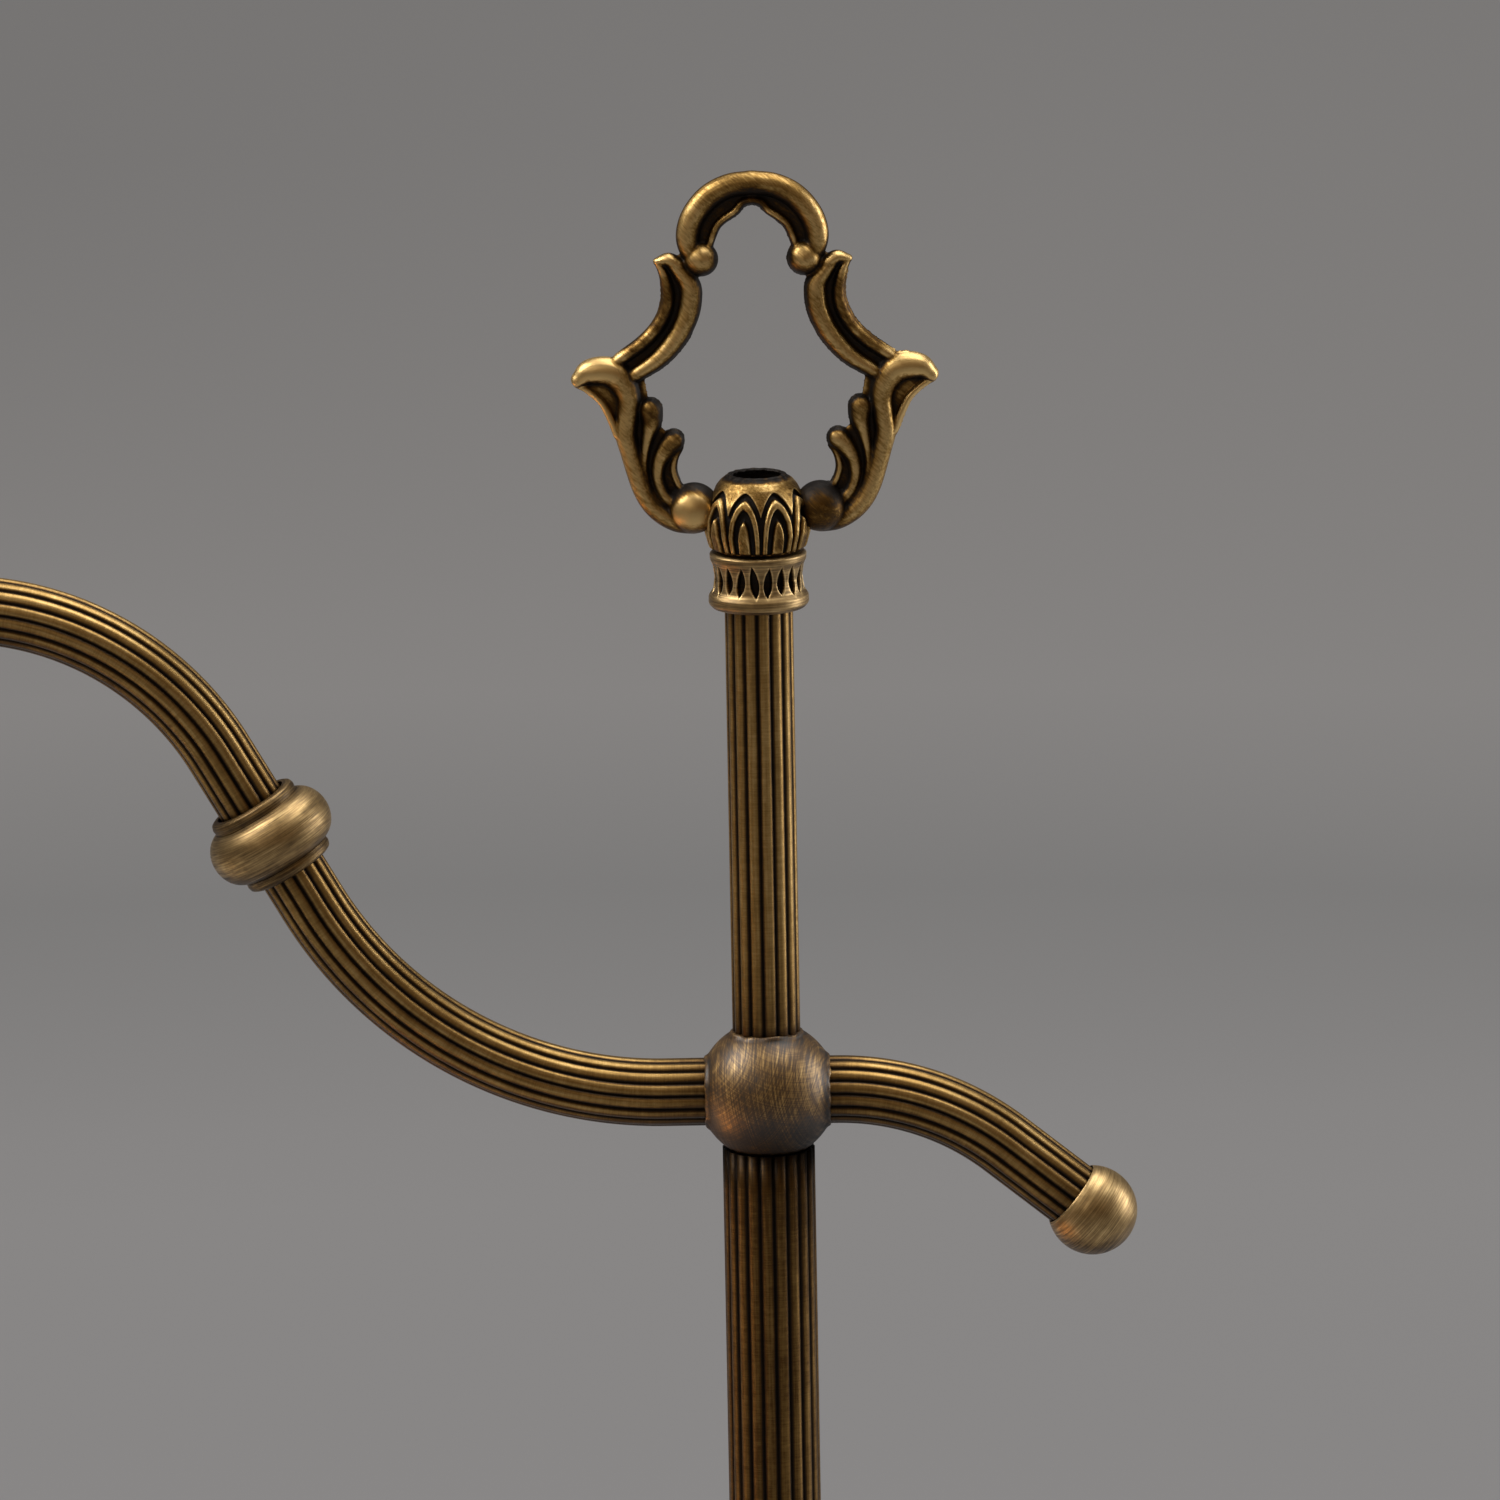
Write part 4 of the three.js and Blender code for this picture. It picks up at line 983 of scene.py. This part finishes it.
def head():
    nipple = 5.1
    gallery = [(nipple, -37.8), (29.6, -37.8, 0.8), (30.6, -38.8, 0.8), (30.6, -50.8, 0.8),
               (32.2, -52.4, 0.9), (34, -51.2, 0.8), (33.2, -49.4, 0.8), (32.1, -48.4, 0.8),
               (32.1, -37.4, 1.2), (31, -36.3, 1.0), (22, -36.3, 0.5), (20.5, -35.9, 0.4),
               (19, -36.3, 0.4), (nipple, -36.3)]
    head_piece("shade_gallery", gallery, 200, 0.8)
    outside = [*curve([(84.9, -159.5), (78, -136), (73, -107), (67, -87), (56, -72), (42, -63),
                       (30, -58.8)]),
               (26.5, -55, 2), (26.5, -44.8, 1.2), (28.5, -43.5, 0.8), (28.5, -40, 0.9)]
    inside = [(23, -40, 0.9), (23, -57, 3),
              *curve([(28, -62), (40, -66.4), (53.4, -75), (63.8, -89), (69.6, -108), (74.6, -137),
                      (81.7, -159.5)]),
              (82.2, -160, 0.2), (84.4, -160, 0.2)]
    head_piece("glass_shade", outside + inside, 200, 1.8, slot="opal_glass")
    cap = [(nipple, -38.1), (nipple, -46, 0.6), (8, -47.4, 1), (13, -50.6, 1.5), (15, -55.4, 1.5),
           (15, -58, 0.2), (16.4, -58, 0.3), (16.4, -55, 1.5), (14, -49, 2), (9, -45.6, 1.5),
           (7.6, -44, 0.8), (7.6, -38.1, 0.4)]
    head_piece("socket_cap", cap, 128, 0.8)
    shell = [(15.3, -98), (16.4, -98, 0.3), (16.4, -90, 0.3), (16.0, -89.4, 0.4), (16.4, -88.8, 0.3),
             (16.4, -64, 0.3), (16.0, -63.4, 0.4), (16.4, -62.8, 0.3), (16.4, -58.3, 0.3),
             (15.3, -58.3)]
    head_piece("socket_shell", shell, 160, 0.8)
    globe = arc((0, -125.5), (22.5, 22.5), -90, 50, 64)
    bulb = [*globe, (13.4, -106.4, 3), (12.4, -103.6, 1), (12.4, -100.3, 0.3), (0, -100.3)]
    head_piece("bulb_glass", bulb, 128, 1.2, closed=False, slot="bulb_glass")
    for index in range(3):
        thumb_screw(index)
    socket_key()


def thumb_screw(index):
    """One of the three screws round the gallery, the first of them at the back."""
    node = f"thumb_screw_{index + 1}"
    profile = [(0, 26.9), (1.3, 26.9, 0.2), (1.5, 27.2, 0.1), (1.5, 33, 0.4), (2.6, 33.4, 0.4),
               (4.2, 35.2, 0.6), (4.4, 36, 0.4), (4.4, 38.2, 0.4), (3.4, 39.2, 0.6), (0, 39.4)]
    turn = Matrix.Rotation(math.radians(90 + 120 * index), 4, "Z") @ Matrix.Rotation(math.radians(90), 4, "Y")
    place = moved(ARM_END[0], 0, ARM_END[2] + SHADE_SCREW, turn)
    turned(node, profile, f"shade_screw_{index + 1}", place, segments=144, longest=0.3, relief=knurl,
           closed=False)


def knurl(turn, z, radius):
    """Fine ribs round a thumb screw's head."""
    wave = 0.22 * np.abs(np.sin(turn * 14))
    return np.where((radius > 4) & (z > 35.4), -wave, 0)


def socket_key():
    """A round shaft with a flat rounded leaf, in one moulding."""
    rows = spline([(-14.3, 1.6, 1.6), (-22, 1.6, 1.6), (-25.2, 1.6, 1.7), (-27.4, 1.35, 3.9),
                   (-30, 1.1, 4.5), (-32.2, 1.0, 3.2), (-33, 0.6, 0.8)], 0.3)
    sides = 40
    angles = np.arange(sides) / sides * 2 * math.pi
    places = [np.stack([thin * np.cos(angles), np.full(sides, y), wide * np.sin(angles)], 1)
              for y, thin, wide in rows]
    start = np.tile([0, rows[0][0], 0], (sides, 1))
    end = np.tile([0, rows[-1][0], 0], (sides, 1))
    places = np.vstack([start, *places, end])
    mesh = mesh_from("viz_socket_key", places, grid_faces(len(rows) + 2, sides))
    weld(mesh)
    mesh.transform(moved(ARM_END[0], 0, ARM_END[2] + KEY_HEIGHT))
    build(mesh, "socket_key", "socket_key", FINISHES["black_moulding"])


# ---------- frame nodes that stay

NODE_FINISHES = {
    "floor_pad": "pad_rubber", "base_weight": "cast_iron", "cord_gland": "black_moulding",
    "swivel_washer": "fibre", "socket_liner": "fibre", "socket_body": "black_moulding",
    "swivel_bush": "turned_brass", "arm_joint_spigot": "turned_brass", "screw_shell": "turned_brass",
    "centre_contact": "turned_brass", "post_lead": "lead_jacket", "arm_lead": "lead_jacket",
    "head_lead": "lead_jacket", "knuckle_fork": "antique_brass", "knuckle_tongue": "antique_brass",
}


def finish_nodes():
    """Gives each CAD node that is still shown its finish, and the knuckle's two castings broken edges."""
    for name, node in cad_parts.items():
        if node.hide_render:
            continue
        finish = NODE_FINISHES.get(name, "steel")
        node.data.materials.clear()
        node.data.materials.append(FINISHES[finish])
        if name in ("knuckle_fork", "knuckle_tongue"):
            bevel = node.modifiers.new("broken_edges", "BEVEL")
            bevel.width = 0.35 * MM
            bevel.segments = 3
            bevel.limit_method = "ANGLE"
            bevel.angle_limit = math.radians(35)


# ---------- stage, light and camera

# The floor's tone from near to far, which makes the photo's soft horizon, and its tone far off left.
# The dark band in these tones is painted shade, and so is the darker tone far off left.
FLOOR_TONES = [
    (0.0, (0.495, 0.50, 0.52)),
    (0.24, (0.49, 0.495, 0.52)),
    (0.33, (0.32, 0.325, 0.34)),
    (0.42, (0.625, 0.635, 0.66)),
    (1.0, (0.39, 0.392, 0.408)),
]
FAR_LEFT_SHADE_TONE = (0.30, 0.285, 0.292)


def stage():
    """A wide matt floor just under the lamp, with a soft band of painted shade far away, painted shade far
    off left, and a faint glow, painted light, that grows away from the lamp.
    """
    radius, sides, level = 38.0, 96, -0.0005
    bm = bmesh.new()
    centre = bm.verts.new((0, 0, level))
    turns = [2 * math.pi * i / sides for i in range(sides)]
    rim = [bm.verts.new((radius * math.cos(turn), radius * math.sin(turn), level)) for turn in turns]
    for a, b in zip(rim, rim[1:] + rim[:1]):
        bm.faces.new((centre, a, b))
    mesh = bpy.data.meshes.new("floor")
    bm.to_mesh(mesh)
    bm.free()
    nodes = Nodes("floor")
    place = nodes.add("TexCoord", out="Object")
    cloud = nodes.noise(place, 0.5, 2.0)
    away = nodes.add("VectorMath", {0: place}, out="Value", operation="LENGTH")
    depth = nodes.math("MULTIPLY_ADD", cloud, 0.05, nodes.range(away, 3.0, 11.0))
    # Painted shade: far off to the left the floor turns darker.
    left = nodes.range(nodes.add("SeparateXYZ", {0: place}), 0.3, -0.8)
    dim = nodes.math("MULTIPLY", left, nodes.range(away, 6.5, 9.0))
    tone = nodes.ramp(depth, FLOOR_TONES)
    tone = nodes.mix(dim, tone, FAR_LEFT_SHADE_TONE)
    # Painted light: the floor glows faintly, more the further it is from the lamp.
    glow = nodes.range(away, 0.5, 4.5, 0.0, 0.15)
    nodes.set(Base_Color=tone, Roughness=0.9, Specular_IOR_Level=0.1)
    nodes.set(Emission_Color=(1.0, 0.995, 0.985), Emission_Strength=glow)
    mesh.materials.append(nodes.material)
    floor = add_object("floor", mesh)


def area_light(name, place, target, size, watts, color):
    data = bpy.data.lights.new(name, "AREA")
    data.shape = "RECTANGLE"
    data.size, data.size_y = size
    data.energy = watts
    data.color = color
    light = add_object(name, data)
    light.location = place
    aim = Vector(target) - Vector(place)
    light.rotation_euler = aim.to_track_quat("-Z", "Y").to_euler()
    return data


def lights():
    """Two soft boxes above, a weak front one, a bright side wall, and the glow of a lit lamp at left."""
    middle = (0, 0, HUB * MM)
    area_light("key", (-1.5, -0.15, 2.9), middle, (1.3, 1.3), 44, (1.0, 0.985, 0.96))
    area_light("overhead", (0.45, 0.2, 3.2), middle, (1.9, 1.3), 32, (1.0, 0.985, 0.96))
    area_light("front", (-0.9, -2.0, 2.6), middle, (1.4, 1.0), 4, (1.0, 0.93, 0.84))
    area_light("right_wall", (2.4, 0.3, 1.8), middle, (1.0, 2.0), 38, (0.98, 0.98, 1.0))
    glow = area_light("left_glow", (-1.35, 0.05, 0.5), (-0.52, 0, 1.5), (0.9, 0.9), 2.1, (1.0, 0.42, 0.1))
    glow.spread = math.radians(45)
    studio_world()


def studio_world():
    """An even dim room, warmer and darker towards the front."""
    world = bpy.data.worlds.new("studio")
    world.use_nodes = True
    tree = world.node_tree
    direction = tree.nodes.new("ShaderNodeTexCoord")
    split = tree.nodes.new("ShaderNodeSeparateXYZ")
    facing = tree.nodes.new("ShaderNodeMapRange")
    facing.interpolation_type = "SMOOTHSTEP"
    facing.inputs["From Min"].default_value = 0.15
    facing.inputs["From Max"].default_value = -0.75
    room = tree.nodes.new("ShaderNodeMix")
    room.data_type = "RGBA"
    room.inputs[6].default_value = (0.085, 0.085, 0.09, 1)
    room.inputs[7].default_value = (0.11, 0.06, 0.018, 1)
    tree.links.new(direction.outputs["Generated"], split.inputs[0])
    tree.links.new(split.outputs["Y"], facing.inputs["Value"])
    tree.links.new(facing.outputs["Result"], room.inputs["Factor"])
    tree.links.new(room.outputs[2], tree.nodes["Background"].inputs["Color"])
    bpy.context.scene.world = world


def camera():
    """From the front, a little above, with the slight lean of a hand-held picture."""
    elevation, roll, distance = math.radians(12.8), math.radians(1.05), 3.0
    aim = Vector((-3.2, 0, HUB + 97.4)) * MM
    back = Vector((0, -math.cos(elevation), math.sin(elevation)))
    right = Vector((1, 0, 0))
    up = back.cross(right)
    leaned_right = math.cos(roll) * right - math.sin(roll) * up
    leaned_up = math.sin(roll) * right + math.cos(roll) * up
    data = bpy.data.cameras.new("camera")
    data.lens = 260
    data.sensor_width = 36
    data.clip_end = 120
    eye = add_object("camera", data)
    basis = Matrix((leaned_right, leaned_up, back)).transposed().to_4x4()
    eye.matrix_world = Matrix.Translation(aim + back * distance) @ basis
    bpy.context.scene.camera = eye


camera()
reeded_tubes()
hub()
arm_collar()
tail_ball()
finial_collar()
finial_bulb()
finial_loop()
base()
couplings()
knuckle()
head()
finish_nodes()
stage()
lights()
bpy.context.scene.view_settings.view_transform = "Standard"
